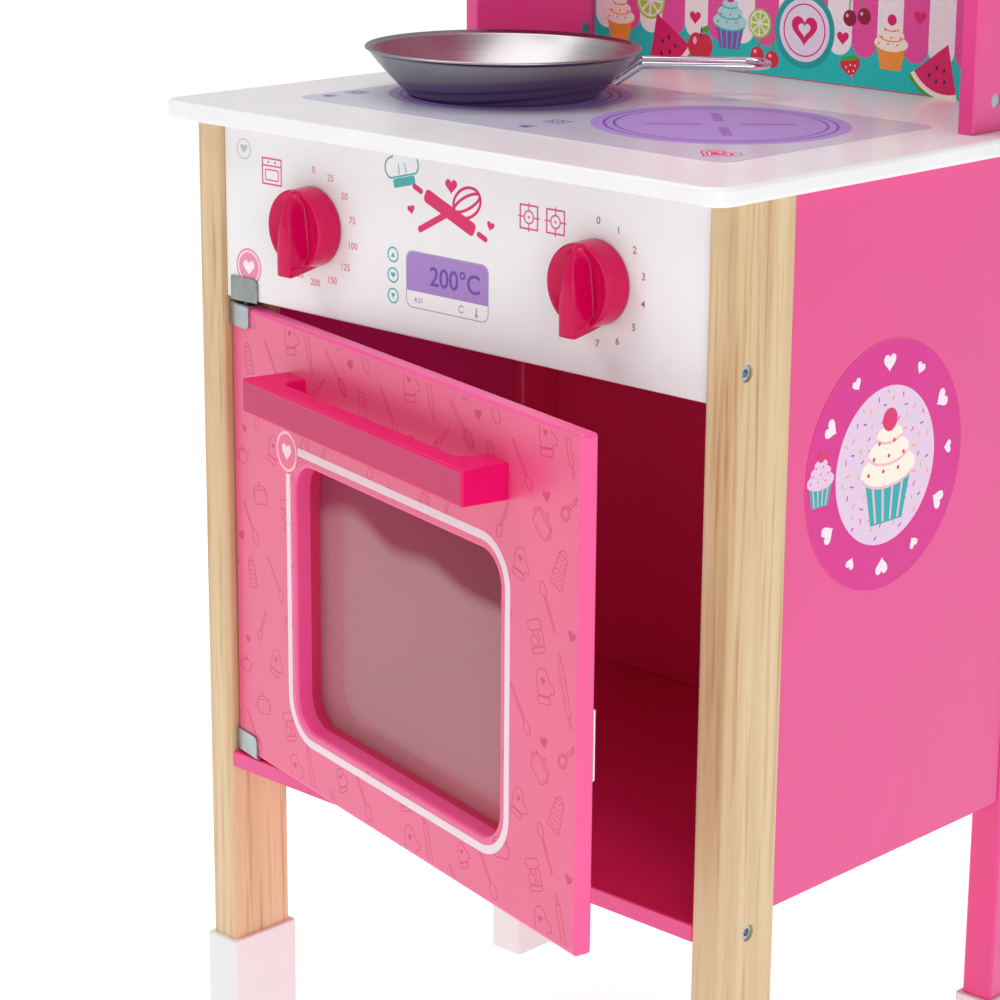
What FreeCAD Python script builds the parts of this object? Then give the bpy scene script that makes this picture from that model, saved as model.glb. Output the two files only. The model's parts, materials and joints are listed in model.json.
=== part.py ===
"""Wooden toy kitchen: worktop with hob, control panel, oven with a hinged door, and a raised back.

Units are millimetres. X runs to the right of someone facing the oven, Y runs away from them and
Z is up. The origin is the centre of the bottom of the bounding box, on the floor.
The oven door is modelled shut and then turned to its resting angle, a little ajar.
"""
import FreeCAD, Part
import math
import os

os.makedirs("parts", exist_ok=True)

V = FreeCAD.Vector
X_AXIS = V(1, 0, 0)
Y_AXIS = V(0, 1, 0)
Z_AXIS = V(0, 0, 1)

# ---- driving dimensions ------------------------------------------------------------------------
BOARD = 9.0                 # every panel is 9 mm fibreboard
WORKTOP_W = 370.0
WORKTOP_D = 310.0
WORKTOP_TOP = 543.0         # height of the worktop's upper face
WORKTOP_CORNER = 13.0       # radius of its four corners in plan
WORKTOP_ROUND = 2.0         # softened edges of its two faces
FRONT_Y = -126.3            # front edge of the worktop, measured from the origin

LEG_W = 18.0                # pine stock, 18 x 40
LEG_D = 40.0
LEG_ROUND = 2.5
LEG_OUT_X = 180.0           # outer face of the legs
FRONT_LEG_Y = FRONT_Y + 21.0
REAR_LEG_Y = FRONT_Y + 246.0
SLEEVE_WALL = 2.5
SLEEVE_H = 82.0
SLEEVE_SOLE = 3.0
SLEEVE_ROUND = 2.2
SLEEVE_LIP_ROUND = 1.0

PANEL_FACE_Y = FRONT_Y + 23.8   # front face of the control panel and of the shut door
PANEL_BOTTOM = 441.4
FLOOR_BOTTOM = 183.0            # underside of the oven floor
FLOOR_SETBACK = 0.9             # the oven floor starts just behind the front legs' faces
SIDE_INSET = 1.8                # side panels sit this far inside the legs' outer faces
SIDE_BOTTOM = 193.5
BACK_SETBACK = 2.0              # the oven back lies this far inside the rear legs' backs
BACK_Y = REAR_LEG_Y + LEG_D - BACK_SETBACK - BOARD
CLEAT_BOTTOM = 187.5            # the cleats join the oven floor to the side panels
CLEAT_TOP = 200.0

WING_OUT_X = 170.0
WING_Y = FRONT_Y + 206.0
UPPER_H = 298.0                 # wings above the worktop
TOP_SHELF_OVERHANG = 4.0

FILM_X = 142.0
FILM_Y0 = FRONT_Y + 54.0
FILM_Y1 = FRONT_Y + 217.7
FILM_T = 0.3
FILM_CORNER = 9.0

DOOR_W = 320.0
DOOR_LEFT = -160.2
DOOR_BOTTOM = 194.2
DOOR_TOP = 437.9
REST_ANGLE = 13.0               # how far the door stands open at rest
HINGE_INSET = 8.0               # hinge axis from the door's left edge
WINDOW_X0 = DOOR_LEFT + 64.5
WINDOW_X1 = DOOR_LEFT + 256.0
WINDOW_Z0 = 226.5
WINDOW_Z1 = 367.0
WINDOW_CORNER = 16.0
FRAME_BORDER = 11.0
FRAME_DEPTH = 7.5
PANE_T = 2.0
HANDLE_LEN = 205.4
HANDLE_H = 17.5
HANDLE_DEPTH = 25.0
HANDLE_BAR = 12.0
HANDLE_POST = 20.0
HANDLE_BOTTOM = 395.0
STEEL = 1.2                     # hinge clip sheet
PIN_R = 1.5
RUNNING = 0.08                  # radial clearance of a pin in its hole

KNOB_X = 95.0
KNOB_Z = WORKTOP_TOP - 56.2
KNOB_R = 19.6
KNOB_BODY = 12.5
KNOB_GAP = 0.8
KNOB_RIDGE = 8.0
SPINDLE_R = 3.0

PAN_X = -78.1
PAN_Y = FRONT_Y + 140.8
PAN_RIM_R = 71.3
PAN_BASE_R = 46.0
PAN_H = 25.0
PAN_WALL = 0.9
WIRE_R = 2.0
WIRE_HALF_GAP = 11.0
WIRE_ANGLE = 42.0

LEG_IN_X = LEG_OUT_X - LEG_W
WORKTOP_UNDER = WORKTOP_TOP - BOARD
FLOOR_TOP = FLOOR_BOTTOM + BOARD
SIDE_OUT_X = LEG_OUT_X - SIDE_INSET
SIDE_IN_X = SIDE_OUT_X - BOARD
BACK_FACE_Y = FRONT_Y + WORKTOP_D       # rear edge of the worktop
HINGE_X = DOOR_LEFT + HINGE_INSET
HINGE_Y = PANEL_FACE_Y + BOARD / 2


# ---- helpers -----------------------------------------------------------------------------------
def block(x0, x1, y0, y1, z0, z1):
    """An upright box between two corners."""
    return Part.makeBox(x1 - x0, y1 - y0, z1 - z0, V(x0, y0, z0))


def rounded(shape, radius, keep):
    """The shape with a fillet on each edge that keep(edge) accepts."""
    edges = [edge for edge in shape.Edges if keep(edge)]
    return shape.makeFillet(radius, edges)


def runs_along(edge, axis):
    """True for a straight edge parallel to the axis."""
    if not isinstance(edge.Curve, Part.Line):
        return False
    return abs(abs(edge.tangentAt(edge.FirstParameter).dot(axis)) - 1) < 1e-6


def lies_at(edge, name, value):
    """True when the whole edge has one coordinate equal to value."""
    box = edge.BoundBox
    low = getattr(box, name + "Min")
    high = getattr(box, name + "Max")
    return abs(low - value) < 1e-4 and abs(high - value) < 1e-4


def board(x0, x1, y0, y1, z0, z1, edge_round=1.0):
    """A fibreboard panel with softly rounded edges all round."""
    return rounded(block(x0, x1, y0, y1, z0, z1), edge_round, lambda edge: True)


def rod(radius, length, start, direction):
    """A round bar from start along direction."""
    return Part.makeCylinder(radius, length, start, direction)


def rounded_window(x0, x1, z0, z1, radius, y0, y1):
    """A prism along Y whose outline is a rectangle with round corners."""
    prism = block(x0, x1, y0, y1, z0, z1)
    return rounded(prism, radius, lambda edge: runs_along(edge, Y_AXIS))


def mirrored(shape):
    """The shape's twin on the other side of the kitchen."""
    return shape.mirror(V(0, 0, 0), X_AXIS)


SOCKET_WIDTH = 0.5      # corner radius of a hexagon socket, as a part of the head's radius
SOCKET_FLOOR = 0.35     # height of its floor, as a part of the head's height


def socket_screw(tip, direction, length, shank_r, head_r, head_h):
    """A screw from its tip to a round head with a hexagon socket; direction points to the head."""
    head_at = tip + direction * (length - head_h)
    screw = rod(shank_r, length - head_h / 2, tip, direction).fuse(rod(head_r, head_h, head_at, direction))
    across = X_AXIS if abs(direction.dot(X_AXIS)) < 0.5 else Y_AXIS
    corner = V(across).multiply(head_r * SOCKET_WIDTH)
    centre = head_at + direction * (head_h * SOCKET_FLOOR)
    points = []
    for step in range(7):
        turned = FreeCAD.Rotation(direction, 60.0 * step).multVec(corner)
        points.append(centre + turned)
    socket = Part.Face(Part.makePolygon(points)).extrude(direction * head_h)
    return screw.cut(socket)


def screw_hole(tip, direction, length, shank_r, head_r, head_h, open_for=6.0):
    """The room that socket_screw fills, open beyond the head."""
    head_at = tip + direction * (length - head_h)
    return rod(shank_r, length, tip, direction).fuse(rod(head_r, head_h + open_for, head_at, direction))


def save(name, shape):
    """Write one sub-part."""
    clean = shape.removeSplitter()
    assert clean.isValid(), name
    clean.exportStep("parts/" + name + ".step")
    PARTS[name] = clean


PARTS = {}

# ---- screws through the legs -------------------------------------------------------------------
# Each lies along X with its head just under the leg's outer face.
LEG_SCREW = dict(length=38.0, shank_r=2.0, head_r=4.1, head_h=3.0)
LEG_SCREW_SINK = 1.0
BACK_MID_Y = BACK_Y + BOARD / 2
PANEL_MID_Y = PANEL_FACE_Y + BOARD / 2
LEG_MID_Y = FRONT_LEG_Y + LEG_D / 2
FLOOR_MID_Z = FLOOR_BOTTOM + BOARD / 2
FRONT_SCREWS = [(PANEL_MID_Y, 457.7), (LEG_MID_Y, FLOOR_MID_Z)]
REAR_SCREWS = [(BACK_MID_Y, 457.7), (BACK_MID_Y - 7.0, FLOOR_MID_Z)]


def leg_screw_tip(y, z):
    """Tip of a right-hand leg screw whose head is sunk in the leg's outer face."""
    return V(LEG_OUT_X - LEG_SCREW_SINK - LEG_SCREW["length"], y, z)


def leg_screws():
    """All eight screws, four to a side."""
    right = []
    for y, z in FRONT_SCREWS + REAR_SCREWS:
        right.append(socket_screw(leg_screw_tip(y, z), X_AXIS, **LEG_SCREW))
    return right + [mirrored(screw) for screw in right]


def leg_screw_room():
    """The holes for all eight screws."""
    right = []
    for y, z in FRONT_SCREWS + REAR_SCREWS:
        right.append(screw_hole(leg_screw_tip(y, z), X_AXIS, **LEG_SCREW))
    return right + [mirrored(hole) for hole in right]


SCREW_ROOM = Part.makeCompound(leg_screw_room())
save("leg_screws", Part.makeCompound(leg_screws()))


# ---- frame: legs, sleeve feet and fixed boards -------------------------------------------------
def leg(y0):
    """A right-hand leg with rounded long edges, drilled for its screws."""
    stock = block(LEG_IN_X, LEG_OUT_X, y0, y0 + LEG_D, SLEEVE_SOLE, WORKTOP_UNDER)
    stock = rounded(stock, LEG_ROUND, lambda edge: runs_along(edge, Z_AXIS))
    return stock.cut(SCREW_ROOM)


def foot_sleeve(y0):
    """A closed-bottom white sleeve round the lower end of a right-hand leg."""
    outer = block(LEG_IN_X - SLEEVE_WALL, LEG_OUT_X + SLEEVE_WALL,
                  y0 - SLEEVE_WALL, y0 + LEG_D + SLEEVE_WALL, 0, SLEEVE_H)
    outer = rounded(outer, SLEEVE_ROUND, lambda edge: runs_along(edge, Z_AXIS))
    outer = rounded(outer, SLEEVE_LIP_ROUND, lambda edge: lies_at(edge, "Z", SLEEVE_H))
    inner = block(LEG_IN_X, LEG_OUT_X, y0, y0 + LEG_D, SLEEVE_SOLE, SLEEVE_H + 1)
    inner = rounded(inner, LEG_ROUND, lambda edge: runs_along(edge, Z_AXIS))
    return outer.cut(inner)


for end, leg_y in (("front", FRONT_LEG_Y), ("rear", REAR_LEG_Y)):
    post = leg(leg_y)
    sleeve = foot_sleeve(leg_y)
    save("leg_" + end + "_right", post)
    save("leg_" + end + "_left", mirrored(post))
    save("foot_sleeve_" + end + "_right", sleeve)
    save("foot_sleeve_" + end + "_left", mirrored(sleeve))

side_panel = board(SIDE_IN_X, SIDE_OUT_X, FRONT_LEG_Y + LEG_D, REAR_LEG_Y, SIDE_BOTTOM, WORKTOP_UNDER)
save("side_panel_right", side_panel)
save("side_panel_left", mirrored(side_panel))

# Spindle holes through the control panel.
SPINDLE_HOLE_R = SPINDLE_R + RUNNING
control_panel = board(-LEG_IN_X, LEG_IN_X, PANEL_FACE_Y, PANEL_FACE_Y + BOARD, PANEL_BOTTOM, WORKTOP_UNDER)
for knob_x in (-KNOB_X, KNOB_X):
    spindle_hole = rod(SPINDLE_HOLE_R, BOARD + 2, V(knob_x, PANEL_FACE_Y - 1, KNOB_Z), Y_AXIS)
    control_panel = control_panel.cut(spindle_hole)
control_panel = control_panel.cut(SCREW_ROOM)

oven_floor = board(-LEG_IN_X, LEG_IN_X, FRONT_LEG_Y + FLOOR_SETBACK, BACK_Y + BOARD, FLOOR_BOTTOM, FLOOR_TOP)
oven_floor = oven_floor.cut(SCREW_ROOM)
cleat = block(LEG_IN_X, SIDE_IN_X, FRONT_LEG_Y + LEG_D, REAR_LEG_Y, CLEAT_BOTTOM, CLEAT_TOP)
save("floor_cleat_right", cleat)
save("floor_cleat_left", mirrored(cleat))

oven_back = board(-LEG_IN_X, LEG_IN_X, BACK_Y, BACK_Y + BOARD, FLOOR_TOP, WORKTOP_UNDER).cut(SCREW_ROOM)
save("oven_back", oven_back)

# ---- worktop, its blocks and the raised back ---------------------------------------------------
worktop = block(-WORKTOP_W / 2, WORKTOP_W / 2, FRONT_Y, BACK_FACE_Y, WORKTOP_UNDER, WORKTOP_TOP)
worktop = rounded(worktop, WORKTOP_CORNER, lambda edge: runs_along(edge, Z_AXIS))
worktop = rounded(worktop, WORKTOP_ROUND,
                  lambda edge: lies_at(edge, "Z", WORKTOP_TOP) or lies_at(edge, "Z", WORKTOP_UNDER))

CORNER_BLOCK = 16.0
BLOCK_FROM_LEG = 9.5        # middle of a block from the nearest leg
BLOCK_SCREW = dict(length=22.0, shank_r=1.7, head_r=3.4, head_h=2.0)
block_centres = []
for sign in (-1, 1):
    for y in (FRONT_LEG_Y + LEG_D + BLOCK_FROM_LEG, REAR_LEG_Y - BLOCK_FROM_LEG):
        block_centres.append((sign * (SIDE_IN_X - CORNER_BLOCK / 2), y))


def corner_block(x, y):
    """A pine block in the angle between a side panel and the worktop."""
    half = CORNER_BLOCK / 2
    return board(x - half, x + half, y - half, y + half, WORKTOP_UNDER - CORNER_BLOCK, WORKTOP_UNDER, 0.8)


block_screws = []
block_room = []
for x, y in block_centres:
    tip = V(x, y, WORKTOP_UNDER - CORNER_BLOCK + BLOCK_SCREW["length"])
    block_screws.append(socket_screw(tip, Z_AXIS * -1, **BLOCK_SCREW))
    block_room.append(screw_hole(tip, Z_AXIS * -1, **BLOCK_SCREW))
block_room = Part.makeCompound(block_room)
blocks = [corner_block(x, y).cut(block_room) for x, y in block_centres]
save("worktop_blocks", Part.makeCompound(blocks))
save("worktop_screws", Part.makeCompound(block_screws))

# Bolts rise through the worktop into barrel nuts set across the wings.
NUT_R = 3.5
NUT_Z = WORKTOP_TOP + 15.2
NUT_FROM_FRONT = 18.0
NUT_FROM_REAR = 16.0
NUT_SINK = 0.3              # a nut's ends lie this far under the board's faces
NUT_SLOT = 1.0              # screwdriver slot across a nut's inner end
WING_BOLT = dict(length=32.0, shank_r=2.0, head_r=3.4, head_h=2.4)
wing_mid_x = WING_OUT_X - BOARD / 2
wing_in_x = WING_OUT_X - BOARD
wing_bolts = []
wing_room = []
wing_nuts = []
for y in (WING_Y + NUT_FROM_FRONT, BACK_FACE_Y - NUT_FROM_REAR):
    tip = V(wing_mid_x, y, WORKTOP_UNDER - WING_BOLT["head_h"] + WING_BOLT["length"])
    nut = rod(NUT_R, BOARD - 2 * NUT_SINK, V(wing_in_x + NUT_SINK, y, NUT_Z), X_AXIS)
    nut_hole = rod(NUT_R, BOARD + 2, V(wing_in_x - 1, y, NUT_Z), X_AXIS)
    bolt = socket_screw(tip, Z_AXIS * -1, **WING_BOLT)
    bolt_hole = screw_hole(tip, Z_AXIS * -1, **WING_BOLT)
    slot = block(wing_in_x, wing_in_x + NUT_SLOT, y - NUT_R, y + NUT_R,
                 NUT_Z - NUT_SLOT / 2, NUT_Z + NUT_SLOT / 2)
    wing_nuts.append(nut.cut(bolt_hole).cut(slot))
    wing_bolts.append(bolt)
    wing_room.append(bolt_hole.fuse(nut_hole))
wing_nuts += [mirrored(nut) for nut in wing_nuts]
wing_bolts += [mirrored(bolt) for bolt in wing_bolts]
wing_room = Part.makeCompound(wing_room + [mirrored(hole) for hole in wing_room])
save("wing_barrel_nuts", Part.makeCompound(wing_nuts))
save("wing_bolts", Part.makeCompound(wing_bolts))
save("worktop", worktop.cut(block_room).cut(wing_room))

WING_TOP = WORKTOP_TOP + UPPER_H
SMALL_SCREW = dict(length=26.0, shank_r=1.6, head_r=3.2, head_h=1.8)
backsplash_mid_y = BACK_FACE_Y - BOARD / 2

# Screws through the wings into the backsplash's edges.
BACK_SCREW_RISES = (75.0, 225.0)
back_screws = []
back_room = []
for z in (WORKTOP_TOP + rise for rise in BACK_SCREW_RISES):
    tip = V(WING_OUT_X - SMALL_SCREW["length"], backsplash_mid_y, z)
    back_screws.append(socket_screw(tip, X_AXIS, **SMALL_SCREW))
    back_room.append(screw_hole(tip, X_AXIS, **SMALL_SCREW))
back_screws += [mirrored(screw) for screw in back_screws]
back_room = Part.makeCompound(back_room + [mirrored(hole) for hole in back_room])
save("backsplash_screws", Part.makeCompound(back_screws))

# Screws through the top shelf into the wings.
SHELF_SCREW_INSET = 24.0
shelf_screws = []
shelf_room = []
for y in (WING_Y + SHELF_SCREW_INSET, BACK_FACE_Y - SHELF_SCREW_INSET):
    tip = V(wing_mid_x, y, WING_TOP + BOARD - SMALL_SCREW["length"])
    shelf_screws.append(socket_screw(tip, Z_AXIS, **SMALL_SCREW))
    shelf_room.append(screw_hole(tip, Z_AXIS, **SMALL_SCREW))
shelf_screws += [mirrored(screw) for screw in shelf_screws]
shelf_room = Part.makeCompound(shelf_room + [mirrored(hole) for hole in shelf_room])
save("top_shelf_screws", Part.makeCompound(shelf_screws))

wing = board(wing_in_x, WING_OUT_X, WING_Y, BACK_FACE_Y, WORKTOP_TOP, WING_TOP)
wing = wing.cut(wing_room).cut(back_room).cut(shelf_room)
save("wing_panel_right", wing)
save("wing_panel_left", mirrored(wing))

backsplash = board(-wing_in_x, wing_in_x, BACK_FACE_Y - BOARD, BACK_FACE_Y,
                   WORKTOP_TOP, WING_TOP, 0.8)
save("backsplash", backsplash.cut(back_room))

top_shelf = board(-WING_OUT_X - TOP_SHELF_OVERHANG, WING_OUT_X + TOP_SHELF_OVERHANG,
                  WING_Y - TOP_SHELF_OVERHANG, BACK_FACE_Y, WING_TOP, WING_TOP + BOARD, 1.5)
save("top_shelf", top_shelf.cut(shelf_room))

# ---- printed film on the worktop and round sticker on the side ---------------------------------
film = block(-FILM_X, FILM_X, FILM_Y0, FILM_Y1, WORKTOP_TOP, WORKTOP_TOP + FILM_T)
save("hob_film", rounded(film, FILM_CORNER, lambda edge: runs_along(edge, Z_AXIS)))

STICKER_R = 61.0
STICKER_T = 0.25
STICKER_Y = FRONT_Y + 136.0
STICKER_Z = WORKTOP_TOP - 147.8
sticker = rod(STICKER_R, STICKER_T, V(SIDE_OUT_X, STICKER_Y, STICKER_Z), X_AXIS)
save("side_sticker", sticker)

# ---- fixed half of the door hinge --------------------------------------------------------------
CLIP_X0 = -157.6
CLIP_X1 = -137.6
BRACKET_RISE = 11.7
BRACKET_CORNER = 3.0


def channel(x0, x1, web_z0, web_z1, leaf_z0, leaf_z1):
    """A bent steel clip: two leaves against a board's faces, joined by a web across its edge."""
    front = block(x0, x1, PANEL_FACE_Y - STEEL, PANEL_FACE_Y, leaf_z0, leaf_z1)
    rear = block(x0, x1, PANEL_FACE_Y + BOARD, PANEL_FACE_Y + BOARD + STEEL, leaf_z0, leaf_z1)
    web = block(x0, x1, PANEL_FACE_Y - STEEL, PANEL_FACE_Y + BOARD + STEEL, web_z0, web_z1)
    clip = front.fuse(rear).fuse(web).removeSplitter()
    outer_y = (PANEL_FACE_Y - STEEL, PANEL_FACE_Y + BOARD + STEEL)
    outer_z = leaf_z0 if web_z0 == leaf_z0 else leaf_z1
    clip = rounded(clip, STEEL - 0.2, lambda edge: runs_along(edge, X_AXIS)
                   and lies_at(edge, "Z", outer_z)
                   and (lies_at(edge, "Y", outer_y[0]) or lies_at(edge, "Y", outer_y[1])))
    free_z = leaf_z1 if outer_z == leaf_z0 else leaf_z0
    return rounded(clip, BRACKET_CORNER, lambda edge: runs_along(edge, Y_AXIS)
                   and lies_at(edge, "Z", free_z) and lies_at(edge, "X", x1))


PIN_HOLE = rod(PIN_R + RUNNING, WORKTOP_TOP, V(HINGE_X, HINGE_Y, 0), Z_AXIS)
PIN_SEAT = rod(PIN_R, WORKTOP_TOP, V(HINGE_X, HINGE_Y, 0), Z_AXIS)

bracket = channel(CLIP_X0, CLIP_X1, PANEL_BOTTOM - STEEL, PANEL_BOTTOM,
                  PANEL_BOTTOM - STEEL, PANEL_BOTTOM + BRACKET_RISE)
save("upper_hinge_bracket", bracket.cut(PIN_SEAT))

PIN_DEPTH = 9.0                 # how far a pin reaches into the door's edge
PANEL_GAP = PANEL_BOTTOM - DOOR_TOP
upper_pin = rod(PIN_R, 2 * PIN_DEPTH + PANEL_GAP, V(HINGE_X, HINGE_Y, DOOR_TOP - PIN_DEPTH), Z_AXIS)
save("upper_hinge_pin", upper_pin)
save("control_panel", control_panel.cut(upper_pin))

WASHER_R = 4.0
WASHER_T = 0.5
lower_pin_foot = FLOOR_BOTTOM + 2.0
lower_pin = rod(PIN_R, DOOR_BOTTOM + PIN_DEPTH - lower_pin_foot, V(HINGE_X, HINGE_Y, lower_pin_foot), Z_AXIS)
lower_washer = rod(WASHER_R, WASHER_T, V(HINGE_X, HINGE_Y, FLOOR_TOP), Z_AXIS).cut(PIN_SEAT)
save("lower_hinge_pin", lower_pin)
save("lower_hinge_washer", lower_washer)
save("oven_floor", oven_floor.cut(lower_pin))


# ---- door, modelled shut and then turned ajar --------------------------------------------------
def ajar(shape):
    """Turn a piece of the shut door about the hinge to where it rests."""
    turned = shape.copy()
    turned.rotate(V(HINGE_X, HINGE_Y, 0), Z_AXIS, -REST_ANGLE)
    return turned


DOOR_ROUND = 1.8
DOOR_BACK_Y = PANEL_FACE_Y + BOARD
door = board(DOOR_LEFT, DOOR_LEFT + DOOR_W, PANEL_FACE_Y, DOOR_BACK_Y, DOOR_BOTTOM, DOOR_TOP, DOOR_ROUND)
window_hole = rounded_window(WINDOW_X0, WINDOW_X1, WINDOW_Z0, WINDOW_Z1, WINDOW_CORNER,
                             PANEL_FACE_Y - 1, DOOR_BACK_Y + FRAME_DEPTH + 1)
door = door.cut(window_hole)
door = rounded(door, DOOR_ROUND, lambda edge: lies_at(edge, "Y", PANEL_FACE_Y)
               and edge.BoundBox.XMin > WINDOW_X0 - 0.1 and edge.BoundBox.XMax < WINDOW_X1 + 0.1
               and edge.BoundBox.ZMin > WINDOW_Z0 - 0.1 and edge.BoundBox.ZMax < WINDOW_Z1 + 0.1)

# The frame stands on the door's back; a rebate in it holds the pane.
PANE_LAP = 5.0
frame = rounded_window(WINDOW_X0 - FRAME_BORDER, WINDOW_X1 + FRAME_BORDER,
                       WINDOW_Z0 - FRAME_BORDER, WINDOW_Z1 + FRAME_BORDER,
                       WINDOW_CORNER + FRAME_BORDER / 2, DOOR_BACK_Y, DOOR_BACK_Y + FRAME_DEPTH)
frame = frame.cut(window_hole)
rebate_y = DOOR_BACK_Y + FRAME_DEPTH - PANE_T
pane = rounded_window(WINDOW_X0 - PANE_LAP, WINDOW_X1 + PANE_LAP, WINDOW_Z0 - PANE_LAP, WINDOW_Z1 + PANE_LAP,
                      WINDOW_CORNER, rebate_y, DOOR_BACK_Y + FRAME_DEPTH)
frame = frame.cut(pane)

# Eight screws beside the pane hold the frame to the door and clamp the pane's edge.
FRAME_SCREW_GRIP = 5.0          # depth of a screw in the door
FRAME_SCREW = dict(length=FRAME_DEPTH + 6.5, shank_r=1.0, head_r=2.4, head_h=1.4)
SIDE_SCREW_RISE = 45.0          # from the window's middle, up and down
RAIL_SCREW_OUT = 60.0           # from the window's middle, left and right
frame_screws = []
frame_room = []
screw_line = (FRAME_BORDER + PANE_LAP) / 2
window_mid_x = (WINDOW_X0 + WINDOW_X1) / 2
window_mid_z = (WINDOW_Z0 + WINDOW_Z1) / 2
half_w = (WINDOW_X1 - WINDOW_X0) / 2 + screw_line
half_h = (WINDOW_Z1 - WINDOW_Z0) / 2 + screw_line
screw_spots = []
for sign in (-1, 1):
    for other in (-1, 1):
        screw_spots.append((window_mid_x + sign * half_w, window_mid_z + other * SIDE_SCREW_RISE))
        screw_spots.append((window_mid_x + other * RAIL_SCREW_OUT, window_mid_z + sign * half_h))
for x, z in screw_spots:
    tip = V(x, DOOR_BACK_Y - FRAME_SCREW_GRIP, z)
    frame_screws.append(socket_screw(tip, Y_AXIS, **FRAME_SCREW))
    frame_room.append(screw_hole(tip, Y_AXIS, **FRAME_SCREW))
frame_room = Part.makeCompound(frame_room)
save("window_frame", ajar(frame.cut(frame_room)))
save("window_pane", ajar(pane.cut(frame_room)))
save("window_screws", ajar(Part.makeCompound(frame_screws)))

# Handle: a bar on two posts with a flush strip let into its front face.
HANDLE_X0 = DOOR_LEFT + DOOR_W / 2 - HANDLE_LEN / 2
HANDLE_X1 = HANDLE_X0 + HANDLE_LEN
HANDLE_TOP = HANDLE_BOTTOM + HANDLE_H
HANDLE_ROUND = 1.2
HANDLE_HOLLOW_ROUND = 6.0       # inner corners between the bar and its posts
STRIP_T = 0.6
STRIP_EDGE = 1.3                # rim of the bar that shows round the strip
STRIP_CORNER = 1.0
STRIP_PROUD = 0.01
handle_front = PANEL_FACE_Y - HANDLE_DEPTH
handle = block(HANDLE_X0, HANDLE_X1, handle_front, PANEL_FACE_Y, HANDLE_BOTTOM, HANDLE_TOP)
handle = handle.cut(block(HANDLE_X0 + HANDLE_POST, HANDLE_X1 - HANDLE_POST, handle_front + HANDLE_BAR,
                          PANEL_FACE_Y + 1, HANDLE_BOTTOM - 1, HANDLE_TOP + 1))
handle = rounded(handle, HANDLE_HOLLOW_ROUND, lambda edge: runs_along(edge, Z_AXIS)
                 and lies_at(edge, "Y", handle_front + HANDLE_BAR))
handle = rounded(handle, HANDLE_ROUND, lambda edge: not lies_at(edge, "Y", PANEL_FACE_Y)
                 and (lies_at(edge, "Y", handle_front) or runs_along(edge, Y_AXIS)))
strip = block(HANDLE_X0 + STRIP_EDGE, HANDLE_X1 - STRIP_EDGE,
              handle_front - STRIP_PROUD, handle_front + STRIP_T,
              HANDLE_BOTTOM + STRIP_EDGE, HANDLE_TOP - STRIP_EDGE)
strip = rounded(strip, STRIP_CORNER, lambda edge: runs_along(edge, Y_AXIS))

HANDLE_SCREW = dict(length=22.0, shank_r=1.9, head_r=3.6, head_h=2.2)
handle_screws = []
handle_room = []
for x in (HANDLE_X0 + HANDLE_POST / 2, HANDLE_X1 - HANDLE_POST / 2):
    tip_y = DOOR_BACK_Y + HANDLE_SCREW["head_h"] - HANDLE_SCREW["length"]
    tip = V(x, tip_y, HANDLE_BOTTOM + HANDLE_H / 2)
    handle_screws.append(socket_screw(tip, Y_AXIS, **HANDLE_SCREW))
    handle_room.append(screw_hole(tip, Y_AXIS, **HANDLE_SCREW))
handle_room = Part.makeCompound(handle_room)
save("door_handle", ajar(handle.cut(strip).cut(handle_room)))
save("handle_strip", ajar(strip))
save("handle_screws", ajar(Part.makeCompound(handle_screws)))

# Steel clips over the door's two left corners turn on the hinge pins.
CLIP_DROP = 12.3
UPPER_CLIP_SPAN = (DOOR_LEFT + 0.2, DOOR_LEFT + 20.0)
LOWER_CLIP_SPAN = (DOOR_LEFT + 0.8, DOOR_LEFT + 21.4)
upper_clip = channel(*UPPER_CLIP_SPAN, DOOR_TOP, DOOR_TOP + STEEL,
                     DOOR_TOP + STEEL - CLIP_DROP, DOOR_TOP + STEEL)
lower_clip = channel(*LOWER_CLIP_SPAN, DOOR_BOTTOM - STEEL, DOOR_BOTTOM,
                     DOOR_BOTTOM - STEEL, DOOR_BOTTOM - STEEL + CLIP_DROP)
save("upper_door_clip", ajar(upper_clip.cut(PIN_HOLE)))
save("lower_door_clip", ajar(lower_clip.cut(PIN_HOLE)))

# Blind holes in the door's top and bottom edges take the pins.
PIN_END_ROOM = 1.0
upper_hole = rod(PIN_R + RUNNING, PIN_DEPTH + PIN_END_ROOM + 1,
                 V(HINGE_X, HINGE_Y, DOOR_TOP - PIN_DEPTH - PIN_END_ROOM), Z_AXIS)
lower_hole = rod(PIN_R + RUNNING, PIN_DEPTH + PIN_END_ROOM + 1, V(HINGE_X, HINGE_Y, DOOR_BOTTOM - 1), Z_AXIS)
door = door.cut(upper_hole).cut(lower_hole).cut(handle_room).cut(frame_room)
save("door_panel", ajar(door))

STRIKE_Z = 293.5
STRIKE_W = 14.0
STRIKE_H = 34.0
STRIKE_T = 1.8
STRIKE_EDGE = 2.0               # from the door's free edge
strike_x1 = DOOR_LEFT + DOOR_W - STRIKE_EDGE
strike = board(strike_x1 - STRIKE_W, strike_x1, DOOR_BACK_Y, DOOR_BACK_Y + STRIKE_T,
               STRIKE_Z - STRIKE_H / 2, STRIKE_Z + STRIKE_H / 2, 0.5)
save("strike_plate", ajar(strike))

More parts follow.
